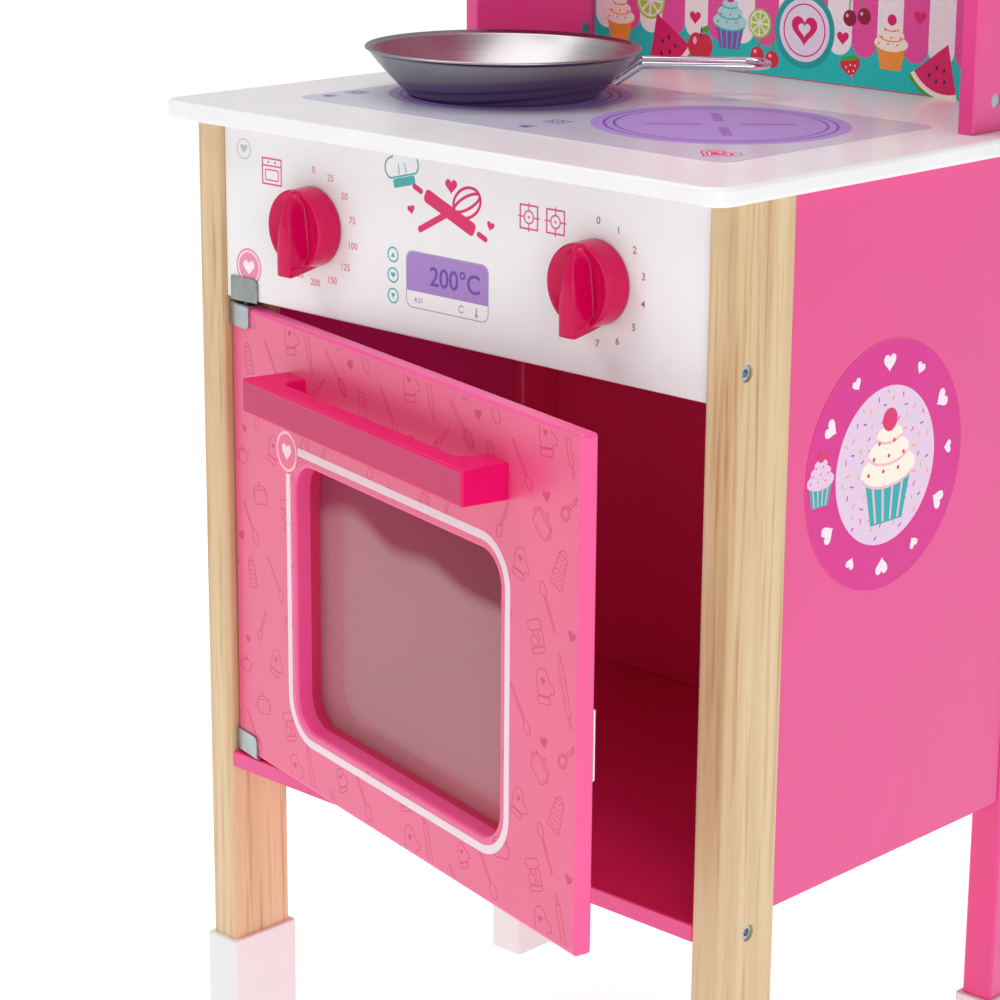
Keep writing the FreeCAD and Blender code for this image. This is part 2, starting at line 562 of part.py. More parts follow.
# Catch on the right leg's inner face, just behind the shut door's strike plate.
CATCH_GAP = 0.6
CATCH_W = 9.0
CATCH_D = 14.0
CATCH_H = 36.0
MAGNET_W = 5.0
MAGNET_D = 8.0
MAGNET_H = 24.0
MAGNET_PROUD = 1.0              # the magnet's face stands out of its housing
catch_y = DOOR_BACK_Y + STRIKE_T + CATCH_GAP
magnet_x1 = LEG_IN_X - 2.0
catch = board(LEG_IN_X - CATCH_W, LEG_IN_X, catch_y + MAGNET_PROUD, catch_y + MAGNET_PROUD + CATCH_D,
              STRIKE_Z - CATCH_H / 2, STRIKE_Z + CATCH_H / 2)
magnet = block(magnet_x1 - MAGNET_W, magnet_x1, catch_y, catch_y + MAGNET_D,
               STRIKE_Z - MAGNET_H / 2, STRIKE_Z + MAGNET_H / 2)
save("catch_body", catch.cut(magnet))
save("catch_magnet", magnet)

# ---- knobs -------------------------------------------------------------------------------------
RIDGE_TOP_HALF = 1.2        # half width of the grip at its pointed end
RIDGE_TAIL_HALF = 4.8       # half width of the grip at its tail
TAIL_DROP = 4.0             # how far the tail hangs below the round body
GRIP_SHOULDER = 6.0         # the grip reaches its full width this far under the middle
SPINDLE_SOCKET = 8.9        # depth of the spindle in the knob
KNOB_DRAFT = 0.5            # the moulded body narrows by this much each side of its radius
CREST_START = 2.0           # above the knob's middle the crest falls away


def knob_shape(x):
    """Round body with a tapered grip whose tail reaches past the body's lower edge."""
    base_y = PANEL_FACE_Y - KNOB_GAP
    front_y = base_y - KNOB_BODY
    centre = V(x, base_y, KNOB_Z)
    body = Part.makeCone(KNOB_R + KNOB_DRAFT, KNOB_R - KNOB_DRAFT, KNOB_BODY, centre, Y_AXIS * -1)
    crest_y = front_y - KNOB_RIDGE
    top_z = KNOB_Z + KNOB_R - 0.8
    tail_z = KNOB_Z - KNOB_R - TAIL_DROP
    shoulder_z = KNOB_Z - GRIP_SHOULDER
    outline = [V(x - RIDGE_TOP_HALF, base_y, top_z), V(x + RIDGE_TOP_HALF, base_y, top_z),
               V(x + RIDGE_TAIL_HALF, base_y, shoulder_z), V(x + RIDGE_TAIL_HALF, base_y, tail_z),
               V(x - RIDGE_TAIL_HALF, base_y, tail_z), V(x - RIDGE_TAIL_HALF, base_y, shoulder_z)]
    grip = Part.Face(Part.makePolygon(outline + outline[:1])).extrude(V(0, crest_y - base_y, 0))
    # The crest falls away towards the pointed end: a wedge across the knob takes it off.
    past = 1.5 * KNOB_R
    wedge = [V(x - past, crest_y - 1, KNOB_Z + CREST_START), V(x - past, crest_y - 1, KNOB_Z + past),
             V(x - past, front_y + 1, KNOB_Z + past), V(x - past, crest_y, KNOB_Z + CREST_START)]
    slope = Part.Face(Part.makePolygon(wedge + wedge[:1])).extrude(V(2 * past, 0, 0))
    knob = body.fuse(grip.cut(slope)).removeSplitter()
    return knob.cut(rod(SPINDLE_R, SPINDLE_SOCKET + 1, V(x, base_y + 1, KNOB_Z), Y_AXIS * -1))


SPINDLE_OUT = 1.1           # end of the spindle behind the panel
KNOB_WASHER_R = 7.0
KNOB_WASHER_T = 1.0
KNOB_SCREW = dict(length=11.0, shank_r=1.25, head_r=2.7, head_h=2.0)
SPINDLE_END_Y = PANEL_FACE_Y + BOARD + SPINDLE_OUT


def knob_screw_tip(x):
    """The screw's head bears on the washer at the spindle's end."""
    grip = KNOB_SCREW["length"] - KNOB_SCREW["head_h"] - KNOB_WASHER_T
    return V(x, SPINDLE_END_Y - grip, KNOB_Z)


def knob_spindle(x):
    """Turned pin pressed into the knob and running in the panel."""
    start_y = PANEL_FACE_Y - KNOB_GAP - SPINDLE_SOCKET
    pin = rod(SPINDLE_R, SPINDLE_END_Y - start_y, V(x, start_y, KNOB_Z), Y_AXIS)
    return pin.cut(screw_hole(knob_screw_tip(x) - Y_AXIS, Y_AXIS, **KNOB_SCREW))


for name, x in (("oven_knob", -KNOB_X), ("hob_knob", KNOB_X)):
    screw = socket_screw(knob_screw_tip(x), Y_AXIS, **KNOB_SCREW)
    spindle = knob_spindle(x)
    washer = rod(KNOB_WASHER_R, KNOB_WASHER_T, V(x, SPINDLE_END_Y, KNOB_Z), Y_AXIS)
    washer = washer.cut(rod(KNOB_SCREW["shank_r"], BOARD, V(x, SPINDLE_END_Y - 1, KNOB_Z), Y_AXIS))
    save(name, knob_shape(x))
    save(name + "_spindle", spindle)
    save(name + "_washer", washer)
    save(name + "_screw", screw)

# ---- frying pan --------------------------------------------------------------------------------
PAN_Z = WORKTOP_TOP + FILM_T
KNEE_OUT = 7.5              # the bend at the base runs this far out
KNEE_UP = 4.0               # and this far up
BELLY_OUT = 0.5             # the wall bulges a little between the bend and the rim
BELLY_DOWN = 0.6
RIM_SLANT = 1.1             # the wall leans, so the rim is inset by more than its thickness


def pan_profile(inset, floor):
    """Half section of the pan's outside, or of its inside when inset by the wall."""
    base = PAN_BASE_R - inset
    rim = PAN_RIM_R - inset * RIM_SLANT
    # The bend leaves the flat base tangentially.
    bend_r = (KNEE_OUT ** 2 + KNEE_UP ** 2) / (2 * KNEE_UP)
    half_turn = math.asin(KNEE_OUT / bend_r) / 2
    low = V(0, 0, floor)
    corner = V(base, 0, floor)
    midway = V(base + bend_r * math.sin(half_turn), 0, floor + bend_r * (1 - math.cos(half_turn)))
    knee = V(base + KNEE_OUT, 0, floor + KNEE_UP)
    top = V(rim, 0, PAN_H)
    belly = (knee + top) * 0.5 + V(BELLY_OUT, 0, -BELLY_DOWN)
    return [Part.makeLine(low, corner), Part.Arc(corner, midway, knee).toShape(),
            Part.Arc(knee, belly, top).toShape(), Part.makeLine(top, V(0, 0, PAN_H)),
            Part.makeLine(V(0, 0, PAN_H), low)]


def pan_solid(inset, floor):
    """The profile turned about the pan's axis."""
    wire = Part.Wire(pan_profile(inset, floor))
    return Part.Face(wire).revolve(V(0, 0, 0), Z_AXIS, 360)


bowl = pan_solid(0, 0).cut(pan_solid(PAN_WALL, PAN_WALL))
bowl.translate(V(PAN_X, PAN_Y, PAN_Z))

# The wire handle is one loop: up along the wall, out level, across the tip and back.
WIRE_Z = 17.5
WIRE_FOOT = V(57.2, WIRE_HALF_GAP, 8.0)
WIRE_BEND = V(71.0, WIRE_HALF_GAP, WIRE_Z)
WIRE_TIP_X = 136.0
WIRE_BEND_R = 5.0


def bent(start, corner, end, radius):
    """The arc that rounds a corner, with its two tangent points."""
    to_start = (start - corner).normalize()
    to_end = (end - corner).normalize()
    half = to_start.getAngle(to_end) / 2
    reach = radius / math.tan(half)
    first = corner + to_start * reach
    last = corner + to_end * reach
    middle_dir = (to_start + to_end).normalize()
    middle = corner + middle_dir * (radius / math.sin(half) - radius)
    return first, middle, last


def across(point):
    """The point's twin on the other wire."""
    return V(point.x, -point.y, point.z)


def wire_loop():
    """Centre line of the handle."""
    far = V(WIRE_TIP_X - WIRE_HALF_GAP, WIRE_HALF_GAP, WIRE_Z)
    first, middle, last = bent(WIRE_FOOT, WIRE_BEND, far, WIRE_BEND_R)
    return Part.Wire([Part.makeLine(WIRE_FOOT, first), Part.Arc(first, middle, last).toShape(),
                      Part.makeLine(last, far),
                      Part.Arc(far, V(WIRE_TIP_X, 0, WIRE_Z), across(far)).toShape(),
                      Part.makeLine(across(far), across(last)),
                      Part.Arc(across(last), across(middle), across(first)).toShape(),
                      Part.makeLine(across(first), across(WIRE_FOOT))])


path = wire_loop()
section = Part.Wire([Part.Circle(WIRE_FOOT, WIRE_BEND - WIRE_FOOT, WIRE_R).toShape()])
handle_wire = path.makePipeShell([section], True, False)
handle_wire.rotate(V(0, 0, 0), Z_AXIS, WIRE_ANGLE)
handle_wire.translate(V(PAN_X, PAN_Y, PAN_Z))
save("pan_bowl", bowl)
save("pan_handle", handle_wire.cut(bowl))

# ---- summary -----------------------------------------------------------------------------------
whole = FreeCAD.BoundBox()
for piece in PARTS.values():
    whole.add(piece.optimalBoundingBox(False))
print("nodes", len(PARTS))
print("box x %.2f %.2f" % (whole.XMin, whole.XMax))
print("box y %.2f %.2f" % (whole.YMin, whole.YMax))
print("box z %.2f %.2f" % (whole.ZMin, whole.ZMax))
print("hinge axis %.2f %.2f  knobs %.1f at y %.2f z %.2f" % (HINGE_X, HINGE_Y, KNOB_X, PANEL_FACE_Y, KNOB_Z))
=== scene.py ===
# %% [markdown]
# # A wooden toy kitchen
#
# The kitchen is a small piece of furniture: 9 mm fibreboard panels sprayed in satin lacquer, screwed to two
# clear-lacquered pine legs in front and two pink ones behind. Its oven door hangs a little ajar, two moulded
# knobs turn on the control panel and a steel frying pan stands on the printed hob. The boards, legs, hinges
# and screws arrive from CAD as a fixed frame. What is made here is their finish, everything that is printed
# on them, and the pieces whose curves deserve more than CAD gave them: the two knobs and the bowl of the
# pan.

# %% Load the frame
import json
import math
from collections import namedtuple

import bmesh
import bpy
import numpy as np
from mathutils import Matrix, Vector


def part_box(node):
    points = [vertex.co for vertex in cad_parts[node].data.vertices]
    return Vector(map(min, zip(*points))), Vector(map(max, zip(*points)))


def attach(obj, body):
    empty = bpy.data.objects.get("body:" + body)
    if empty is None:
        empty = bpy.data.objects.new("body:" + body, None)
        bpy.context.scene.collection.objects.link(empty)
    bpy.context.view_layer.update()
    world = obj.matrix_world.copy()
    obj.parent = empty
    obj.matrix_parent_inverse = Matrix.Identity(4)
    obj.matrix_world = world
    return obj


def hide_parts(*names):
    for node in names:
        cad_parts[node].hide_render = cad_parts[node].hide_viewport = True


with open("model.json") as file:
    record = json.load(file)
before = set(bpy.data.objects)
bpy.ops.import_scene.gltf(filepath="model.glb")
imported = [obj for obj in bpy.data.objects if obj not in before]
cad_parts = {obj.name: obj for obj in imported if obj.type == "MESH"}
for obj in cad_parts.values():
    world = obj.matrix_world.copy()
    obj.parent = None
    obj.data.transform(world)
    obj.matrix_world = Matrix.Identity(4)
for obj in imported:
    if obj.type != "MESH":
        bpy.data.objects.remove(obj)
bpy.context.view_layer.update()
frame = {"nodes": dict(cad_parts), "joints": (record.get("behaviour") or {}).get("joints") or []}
MM = 0.001

# %% [markdown]
# ## Where things are
#
# Every position is taken from the frame. The control panel's box gives the plane that the dials are printed
# on, and the door's hinge joint gives the line it turns about. The door rests a few degrees open, so its
# shut plane is turned by that angle to find where it is at rest. The angle is the joint's own lower limit,
# where the door is shut.

# %% Measure the frame
panel_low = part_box("control_panel")[0]
top_low, top_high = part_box("worktop")
back_low, back_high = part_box("backsplash")
film_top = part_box("hob_film")[1].z
sticker_low, sticker_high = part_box("side_sticker")
joints = {joint["name"]: joint for joint in frame["joints"]}
hinge = joints["door_hinge"]
REST = math.radians(-hinge["range_deg"][0])
hinge_at = np.array(hinge["pos_m"], float)
print("door rests", round(math.degrees(REST), 1), "degrees open about", hinge_at)


def node_points(name):
    """The vertices of a CAD node as an N x 3 array."""
    mesh = frame["nodes"][name].data
    flat = np.empty(len(mesh.vertices) * 3)
    mesh.vertices.foreach_get("co", flat)
    return flat.reshape(-1, 3)


def turned(points, angle, centre=(0, 0, 0)):
    """Points turned about a vertical line: x' = x cos a - y sin a, y' = x sin a + y cos a."""
    around = np.asarray(points, float) - centre
    c, s = math.cos(angle), math.sin(angle)
    return around @ np.array([[c, s, 0], [-s, c, 0], [0, 0, 1]]) + centre


shut_door = turned(node_points("door_panel"), REST, hinge_at)
door_low, door_high = shut_door.min(0), shut_door.max(0)
print("shut door in mm:", np.round(door_low / MM, 1), np.round(door_high / MM, 1))

# %% [markdown]
# ## Planes to print on
#
# Nearly all the colour detail is printing: dials on the panel, utensils on the door, rings on the hob and a
# fruit pattern on the backsplash. It could be a texture image, but crisp vector artwork holds up at any
# distance, so each print is a paper-thin layer of geometry. A plane turns the artwork's own millimetres,
# across and up, into the frame's metres.

# %% Planes
Plane = namedtuple("Plane", "origin across up out body")


def on_plane(plane, points):
    """Artwork (across, up, out) in mm to frame metres: origin + across * U + up * V + out * N."""
    axes = np.array([plane.across, plane.up, plane.out], float)
    return np.asarray(plane.origin) + (np.asarray(points, float) * MM) @ axes


door_corner = turned([[door_low[0], door_low[1], 0.0]], -REST, hinge_at)[0]
door_across = np.array([math.cos(REST), -math.sin(REST), 0.0])
door_out = np.array([-math.sin(REST), -math.cos(REST), 0.0])
PANEL = Plane((0, panel_low.y, 0), (1, 0, 0), (0, 0, 1), (0, -1, 0), "cabinet")
DOOR = Plane(door_corner, door_across, (0, 0, 1), door_out, "door")
HOB = Plane((0, top_low.y, film_top), (1, 0, 0), (0, 1, 0), (0, 0, 1), "cabinet")
BACK = Plane((0, back_low.y, top_high.z), (1, 0, 0), (0, 0, 1), (0, -1, 0), "cabinet")
SIDE = Plane((sticker_high.x, 0, 0), (0, 1, 0), (0, 0, 1), (1, 0, 0), "cabinet")
print("door plane faces", np.round(DOOR.out, 3))

# %% [markdown]
# ## Camera
#
# The kitchen is seen from its front right, a little above the worktop, through a long lens that keeps the
# uprights nearly parallel. The view is a close crop of the cooking part, so the lens is shifted slightly
# instead of turning the camera.

# %% Camera
CAMERA_AT = (0.96159, -1.06321, 0.75162)
AZIMUTH, ELEVATION, ROLL = (math.radians(angle) for angle in (42.15, 15.28, 0.85))


def look_matrix(at, azimuth, elevation, roll):
    """Camera axes: back points to the camera, up = back x right, then up and right turn by the roll."""
    back = np.array([math.sin(azimuth) * math.cos(elevation), -math.cos(azimuth) * math.cos(elevation),
                     math.sin(elevation)])
    right = np.array([math.cos(azimuth), math.sin(azimuth), 0.0])
    up = np.cross(back, right)
    right_rolled = right * math.cos(roll) + up * math.sin(roll)
    up_rolled = up * math.cos(roll) - right * math.sin(roll)
    matrix = np.eye(4)
    matrix[:3, 0], matrix[:3, 1], matrix[:3, 2], matrix[:3, 3] = right_rolled, up_rolled, back, at
    return Matrix(matrix.tolist())


camera_data = bpy.data.cameras.new("camera")
camera_data.sensor_width = 36
camera_data.lens = 104.49
camera_data.shift_x = -0.0899
camera_data.shift_y = -0.0300
camera = bpy.data.objects.new("camera", camera_data)
camera.matrix_world = look_matrix(CAMERA_AT, AZIMUTH, ELEVATION, ROLL)
bpy.context.scene.collection.objects.link(camera)
bpy.context.scene.camera = camera
print("camera lens", camera_data.lens, "mm")

# %% [markdown]
# ## Helpers for meshes and materials
#
# New pieces are numpy arrays of points on a grid, joined into quads. Materials are built from nodes by one
# small function, and colours are written as sRGB hex values, the way a paint card gives them, then made
# linear.


# %% Helpers
def linear(hex_colour):
    """sRGB hex to linear RGBA: c / 12.92 below 0.04045, else ((c + 0.055) / 1.055) to the power 2.4."""
    srgb = np.array([int(hex_colour[i:i + 2], 16) for i in (1, 3, 5)]) / 255
    rgb = np.where(srgb <= 0.04045, srgb / 12.92, ((srgb + 0.055) / 1.055) ** 2.4)
    return (*rgb.tolist(), 1.0)


def add(tree, kind, inputs=None, **settings):
    """Adds a node: settings are its attributes, inputs are values or sockets to link from."""
    node = tree.nodes.new(kind)
    for name, value in settings.items():
        setattr(node, name, value)
    for name, value in (inputs or {}).items():
        if isinstance(value, bpy.types.NodeSocket):
            tree.links.new(value, node.inputs[name])
        else:
            node.inputs[name].default_value = value
    return node


def new_material(name):
    """An empty material, returned as (material, tree)."""
    material = bpy.data.materials.new(name)
    material.use_nodes = True
    material.node_tree.nodes.clear()
    return material, material.node_tree


def object_space(tree):
    """The piece's own coordinates in metres."""
    return add(tree, "ShaderNodeTexCoord").outputs["Object"]


def noise(tree, vector, size_mm, detail=2.0, distortion=0.0):
    """Noise with features about this size: a scale of s makes them 1 / s metres across."""
    return add(tree, "ShaderNodeTexNoise", {"Vector": vector, "Scale": 1 / (size_mm * MM), "Detail": detail,
                                            "Distortion": distortion}).outputs["Fac"]


MIDDLE = (0.3, 0.7)  # where most of a noise's values lie


def ranged(tree, value, low, high, start=0.0, stop=1.0):
    """Stretches a value's span from start to stop onto low to high, and holds it there beyond."""
    return add(tree, "ShaderNodeMapRange", {"Value": value, "From Min": start, "From Max": stop,
                                            "To Min": low, "To Max": high}).outputs["Result"]


def tinted(tree, colour, tone):
    """A hex colour made lighter or darker by the factor tone."""
    return add(tree, "ShaderNodeVectorMath", {0: linear(colour)[:3], 1: tone},
               operation="MULTIPLY").outputs["Vector"]


def bumped(tree, height, strength, depth_mm):
    """Normals tilted by a height that is this deep."""
    return add(tree, "ShaderNodeBump", {"Height": height, "Strength": strength,
                                        "Distance": depth_mm * MM}).outputs["Normal"]


def surfaced(material, inputs):
    """Ends a material with one Principled surface, and returns it."""
    tree = material.node_tree
    surface = add(tree, "ShaderNodeBsdfPrincipled", inputs)
    output = add(tree, "ShaderNodeOutputMaterial")
    tree.links.new(surface.outputs["BSDF"], output.inputs["Surface"])
    return material


def mesh_object(name, points, faces, material, body, smooth=True):
    """A mesh whose vertices are already in place, riding on a CAD body."""
    mesh = bpy.data.meshes.new(name)
    mesh.from_pydata(np.asarray(points, float).tolist(), [], faces)
    mesh.polygons.foreach_set("use_smooth", [smooth] * len(mesh.polygons))
    mesh.materials.append(material)
    mesh.update()
    piece = bpy.data.objects.new(name, mesh)
    bpy.context.scene.collection.objects.link(piece)
    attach(piece, body)
    return piece


def grid_faces(rows, columns, close_rows=False, close_columns=False):
    """Quads of a rows x columns grid of points, wrapped round in either direction."""
    r = np.arange(rows if close_rows else rows - 1)[:, None]
    c = np.arange(columns if close_columns else columns - 1)[None, :]
    r2, c2 = (r + 1) % rows, (c + 1) % columns
    quads = np.stack([r * columns + c, r * columns + c2, r2 * columns + c2, r2 * columns + c], -1)
    return quads.reshape(-1, 4).tolist()


def fix_normals(piece):
    """Points the piece's faces outwards."""
    work = bmesh.new()
    work.from_mesh(piece.data)
    bmesh.ops.recalc_face_normals(work, faces=work.faces)
    work.to_mesh(piece.data)
    work.free()


print("a 2 x 3 grid has", len(grid_faces(2, 3)), "faces")

# %% [markdown]
# ## Floor and light
#
# The kitchen stands on a plain white sweep. One large soft light from the upper left models the knobs and
# throws their short shadows to the lower right, one from the right keeps the side panel bright, one
# overhead lights the worktop, and white surroundings fill the rest, as in a tent of white cloth.

# %% Stage
world = bpy.data.worlds.new("white_tent")
world.use_nodes = True
background = world.node_tree.nodes["Background"]
background.inputs["Color"].default_value = (1, 1, 1, 1)
background.inputs["Strength"].default_value = 0.46
bpy.context.scene.world = world
bpy.context.scene.view_settings.view_transform = "Standard"


def area_light(name, at, towards, size, power):
    """A square soft light whose -Z axis points from at to towards; sizes in metres, power in watts."""
    data = bpy.data.lights.new(name, "AREA")
    data.size = size
    data.energy = power
    light = bpy.data.objects.new(name, data)
    away = Vector(at) - Vector(towards)
    light.matrix_world = Matrix.Translation(at) @ away.to_track_quat("Z", "Y").to_matrix().to_4x4()
    bpy.context.scene.collection.objects.link(light)


area_light("key_upper_left", (-1.0, -1.5, 2.4), (0, 0, 0.45), 1.0, 14.2)
area_light("fill_right", (2.1, -1.15, 0.95), (0.1, 0, 0.4), 1.3, 15)
area_light("overhead", (-0.35, 0.0, 2.4), (-0.05, 0.0, 0.5), 1.6, 18)

REACH = 12.0
floor_mesh = bpy.data.meshes.new("floor")
floor_mesh.from_pydata([(x * REACH, y * REACH, 0) for x, y in ((-1, -1), (1, -1), (1, 1), (-1, 1))], [],
                       [(0, 1, 2, 3)])
floor = bpy.data.objects.new("floor", floor_mesh)
bpy.context.scene.collection.objects.link(floor)
floor_mesh.materials.append(surfaced(new_material("white_backdrop_paper")[0], {
    "Base Color": (0.6, 0.6, 0.6, 1), "Roughness": 0.85, "Emission Color": (1, 1, 1, 1),
    "Emission Strength": 0.72}))

# %% [markdown]
# ## Lacquered fibreboard
#
# The boards are medium-density fibreboard, sprayed with a satin lacquer and rubbed down. Up close, sprayed
# lacquer is never quite flat: it has a faint orange peel a few millimetres across, which goes into the
# bump, and a much slower noise shifts the colour and the sheen by a few percent.


# %% Lacquer
def sprayed_lacquer(name, colour, roughness, coat, coat_rough=0.3):
    """Satin lacquer on fibreboard: an even colour, orange peel 3 mm wide, a soft sheen."""
    material, tree = new_material(name)
    where = object_space(tree)
    peel = noise(tree, where, 3)
    slow = noise(tree, where, 60, 3.0)
    return surfaced(material, {
        "Base Color": tinted(tree, colour, ranged(tree, slow, 0.97, 1.03, *MIDDLE)),
        "Roughness": ranged(tree, slow, roughness - 0.04, roughness + 0.04), "IOR": 1.5,
        "Coat Weight": coat, "Coat Roughness": coat_rough, "Normal": bumped(tree, peel, 0.06, 0.1)})


WHITE_LACQUER = sprayed_lacquer("white_satin_lacquer_on_fibreboard", "#EFEFF0", 0.32, 0.25, 0.12)
PINK_LACQUER = sprayed_lacquer("pink_satin_lacquer_on_fibreboard", "#E42484", 0.42, 0.8)
DOOR_LACQUER = sprayed_lacquer("hot_pink_satin_lacquer_on_fibreboard", "#F24C94", 0.4, 0.5)
# Inside the oven the same pink lacquer gets a redder, less blue base. This stands in for how the pink looks
# in the oven's shade: painted shade.
PAINTED_SHADE_INSIDE_LACQUER = sprayed_lacquer("pink_lacquer_with_painted_oven_shade", "#F42468", 0.42, 0.5)
FRAME_LACQUER = sprayed_lacquer("deep_pink_lacquer_on_window_frame", "#C81C50", 0.42, 0.4)
HOB_FILM = sprayed_lacquer("printed_lilac_hob_film", "#C8C9D8", 0.3, 0.2, 0.12)
DOOR_FILM = sprayed_lacquer("printed_pink_film_on_door", "#E4507F", 0.4, 0.5)
print(WHITE_LACQUER.name, PINK_LACQUER.name)

# %% [markdown]
# ## Clear-lacquered pine
#
# The legs are planed pine with their grain upright. On a quarter-sawn face the yearly rings show as long
# narrow stripes, pale early wood against slightly darker late wood, which wander a little along the length.
# Three noises stretched along the grain give the broad figure, the late-wood lines and the fibres.


# %% Pine
def lacquered_pine(name, pale, dark):
    """Irregular stripes: noise stretched 30 times along the grain, at three widths, mixed into one amount."""
    material, tree = new_material(name)
    along = add(tree, "ShaderNodeMapping", {"Vector": object_space(tree), "Scale": (1.0, 1.0, 0.033)})
    along = along.outputs["Vector"]
    figure = noise(tree, along, 14)
    lines = noise(tree, along, 3.2, distortion=0.3)
    fibre = noise(tree, along, 0.7)
    both = add(tree, "ShaderNodeMath", {0: ranged(tree, figure, 0.05, 0.55, 0.35, 0.7),
                                        1: ranged(tree, lines, 0.0, 0.6, 0.52, 0.72)}, operation="ADD")
    amount = add(tree, "ShaderNodeMath", {0: both.outputs["Value"], 1: ranged(tree, fibre, -0.14, 0.14)},
                 operation="ADD", use_clamp=True)
    wood = add(tree, "ShaderNodeMix", {"Factor": amount.outputs["Value"], "A": linear(pale),
                                       "B": linear(dark)}, data_type="RGBA")
    return surfaced(material, {
        "Base Color": wood.outputs["Result"], "Roughness": 0.38, "IOR": 1.48, "Coat Weight": 0.15,
        "Coat Roughness": 0.25, "Normal": bumped(tree, fibre, 0.12, 0.05)})


PINE = lacquered_pine("clear_lacquered_pine", "#E0C69C", "#B88955")
print(PINE.name)

# %% [markdown]
# ## Moulded plastics
#
# The knobs and the handle are injection-moulded ABS with a polished tool, so they carry sharp highlights
# over a strong colour. The sleeves on the feet are plainer white polypropylene. A moulding is smooth, but a
# slow waviness where it cooled bends the reflections a little.


# %% Plastics
def moulded_plastic(name, colour, roughness):
    """Injection-moulded plastic: even colour, a slow sink-mark waviness, a finer unevenness in the gloss."""
    material, tree = new_material(name)
    where = object_space(tree)
    sink = noise(tree, where, 14, 1.0)
    handled = noise(tree, where, 5, 4.0)
    return surfaced(material, {
        "Base Color": tinted(tree, colour, ranged(tree, sink, 0.97, 1.03)),
        "Roughness": ranged(tree, handled, roughness - 0.03, roughness + 0.05), "IOR": 1.53,
        "Specular IOR Level": 0.22, "Normal": bumped(tree, sink, 0.25, 0.1)})


PINK_ABS = moulded_plastic("polished_moulded_pink_abs", "#CC0050", 0.14)
HANDLE_ABS = moulded_plastic("polished_moulded_magenta_abs", "#E60468", 0.16)
WHITE_PP = moulded_plastic("moulded_white_polypropylene", "#E9E9EA", 0.42)
FERRITE = moulded_plastic("pressed_black_ferrite", "#2A2A2C", 0.55)
print(PINK_ABS.name, WHITE_PP.name)

# %% [markdown]
# ## Brushed handle strip
#
# A strip is let into the front of the handle. Its face is brushed along its length, so it is duller than
# the moulding round it and its sheen is drawn into fine horizontal lines.

# %% Brushed strip
material, tree = new_material("brushed_pink_lacquered_strip")
# Scratches about 0.9 mm apart and 25 times as long: real ones are finer, and would not show.
lanes = add(tree, "ShaderNodeMapping", {"Vector": object_space(tree), "Rotation": (0, 0, REST),
                                        "Scale": (0.04, 1.0, 1.0)})
scratch = noise(tree, lanes.outputs["Vector"], 0.9, 3.0)
PINK_STRIP = surfaced(material, {
    "Base Color": tinted(tree, "#C42460", ranged(tree, scratch, 0.9, 1.1, *MIDDLE)), "Roughness": 0.5,
    "IOR": 1.5, "Normal": bumped(tree, scratch, 0.35, 0.05)})
print(PINK_STRIP.name)

# %% [markdown]
# ## Metals
#
# Screws and door clips are zinc-plated steel, with a bluish tone and the cloudy spangle of plating, and the
# upper hinge bracket is a duller plate. The pan is stainless steel spun on a lathe, so its brushing runs in
# circles round its axis. The wire handle is chromed and nearly a mirror.


# %% Metals
def plated_steel(name, colour, roughness, cloud_mm, mottle):
    """Plated steel: a metal whose tone and roughness drift over clouds of the given size."""
    material, tree = new_material(name)
    cloud = noise(tree, object_space(tree), cloud_mm, 4.0)
    return surfaced(material, {
        "Base Color": tinted(tree, colour, ranged(tree, cloud, 1 - mottle, 1 + mottle, *MIDDLE)),
        "Metallic": 1.0, "Roughness": ranged(tree, cloud, roughness * 0.7, roughness * 1.3)})


ZINC = plated_steel("zinc_plated_steel", "#A9B2B8", 0.3, 6, 0.14)
BRACKET_STEEL = plated_steel("dulled_zinc_plated_bracket", "#8C9290", 0.26, 9, 0.22)
CHROME = plated_steel("polished_chromed_wire", "#D5D7DA", 0.09, 20, 0.03)
print(ZINC.name, CHROME.name)

# %% [markdown]
# ## Smoked window
#
# The oven window is a thin acrylic sheet with a slight tint and one crisp reflection. Light passes straight
# through most of it, so the sheet is partly transparent. Below a line near its top, which wavers by some
# millimetres, it is paler and less clear: a painted reflection of the white floor. Above the line it is
# clearer.

# %% Acrylic
material, tree = new_material("smoked_acrylic_with_painted_floor_reflection")
where = object_space(tree)
pane_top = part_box("window_pane")[1].z
height = add(tree, "ShaderNodeSeparateXYZ", {"Vector": where})
sway = add(tree, "ShaderNodeMath", {0: noise(tree, where, 110, 1.0), 1: 60 * MM}, operation="MULTIPLY")
level = add(tree, "ShaderNodeMath", {0: height.outputs["Z"], 1: sway.outputs["Value"]}, operation="ADD")
# Paler and more opaque below the wavering line: a painted reflection of the white floor in the pane.
painted_floor_reflection = ranged(tree, level.outputs["Value"], 0.31, 0.07, pane_top - 6 * MM, pane_top + 3 * MM)
ACRYLIC = surfaced(material, {"Base Color": linear("#DDA9B0"), "Roughness": 0.04, "IOR": 1.49, "Alpha": painted_floor_reflection})
print(ACRYLIC.name)

# %% [markdown]
# ## Finishes for the CAD parts
#
# Each CAD node comes with one material slot, named for its finish. Here each slot gets its real material,
# while the meshes stay exactly as they came.

# %% Assign finishes
FINISHES = {
    "white_lacquer": WHITE_LACQUER, "pink_lacquer": PINK_LACQUER, "printed_back": PINK_LACQUER,
    "printed_door": DOOR_LACQUER, "pine": PINE, "white_plastic": WHITE_PP, "pink_gloss_plastic": HANDLE_ABS,
    "pink_satin_strip": PINK_STRIP, "zinc_steel": ZINC, "ferrite": FERRITE, "smoked_acrylic": ACRYLIC,
    "stainless_steel": ZINC, "chromed_wire": CHROME, "hob_print": HOB_FILM, "sticker_print": PINK_LACQUER,
}
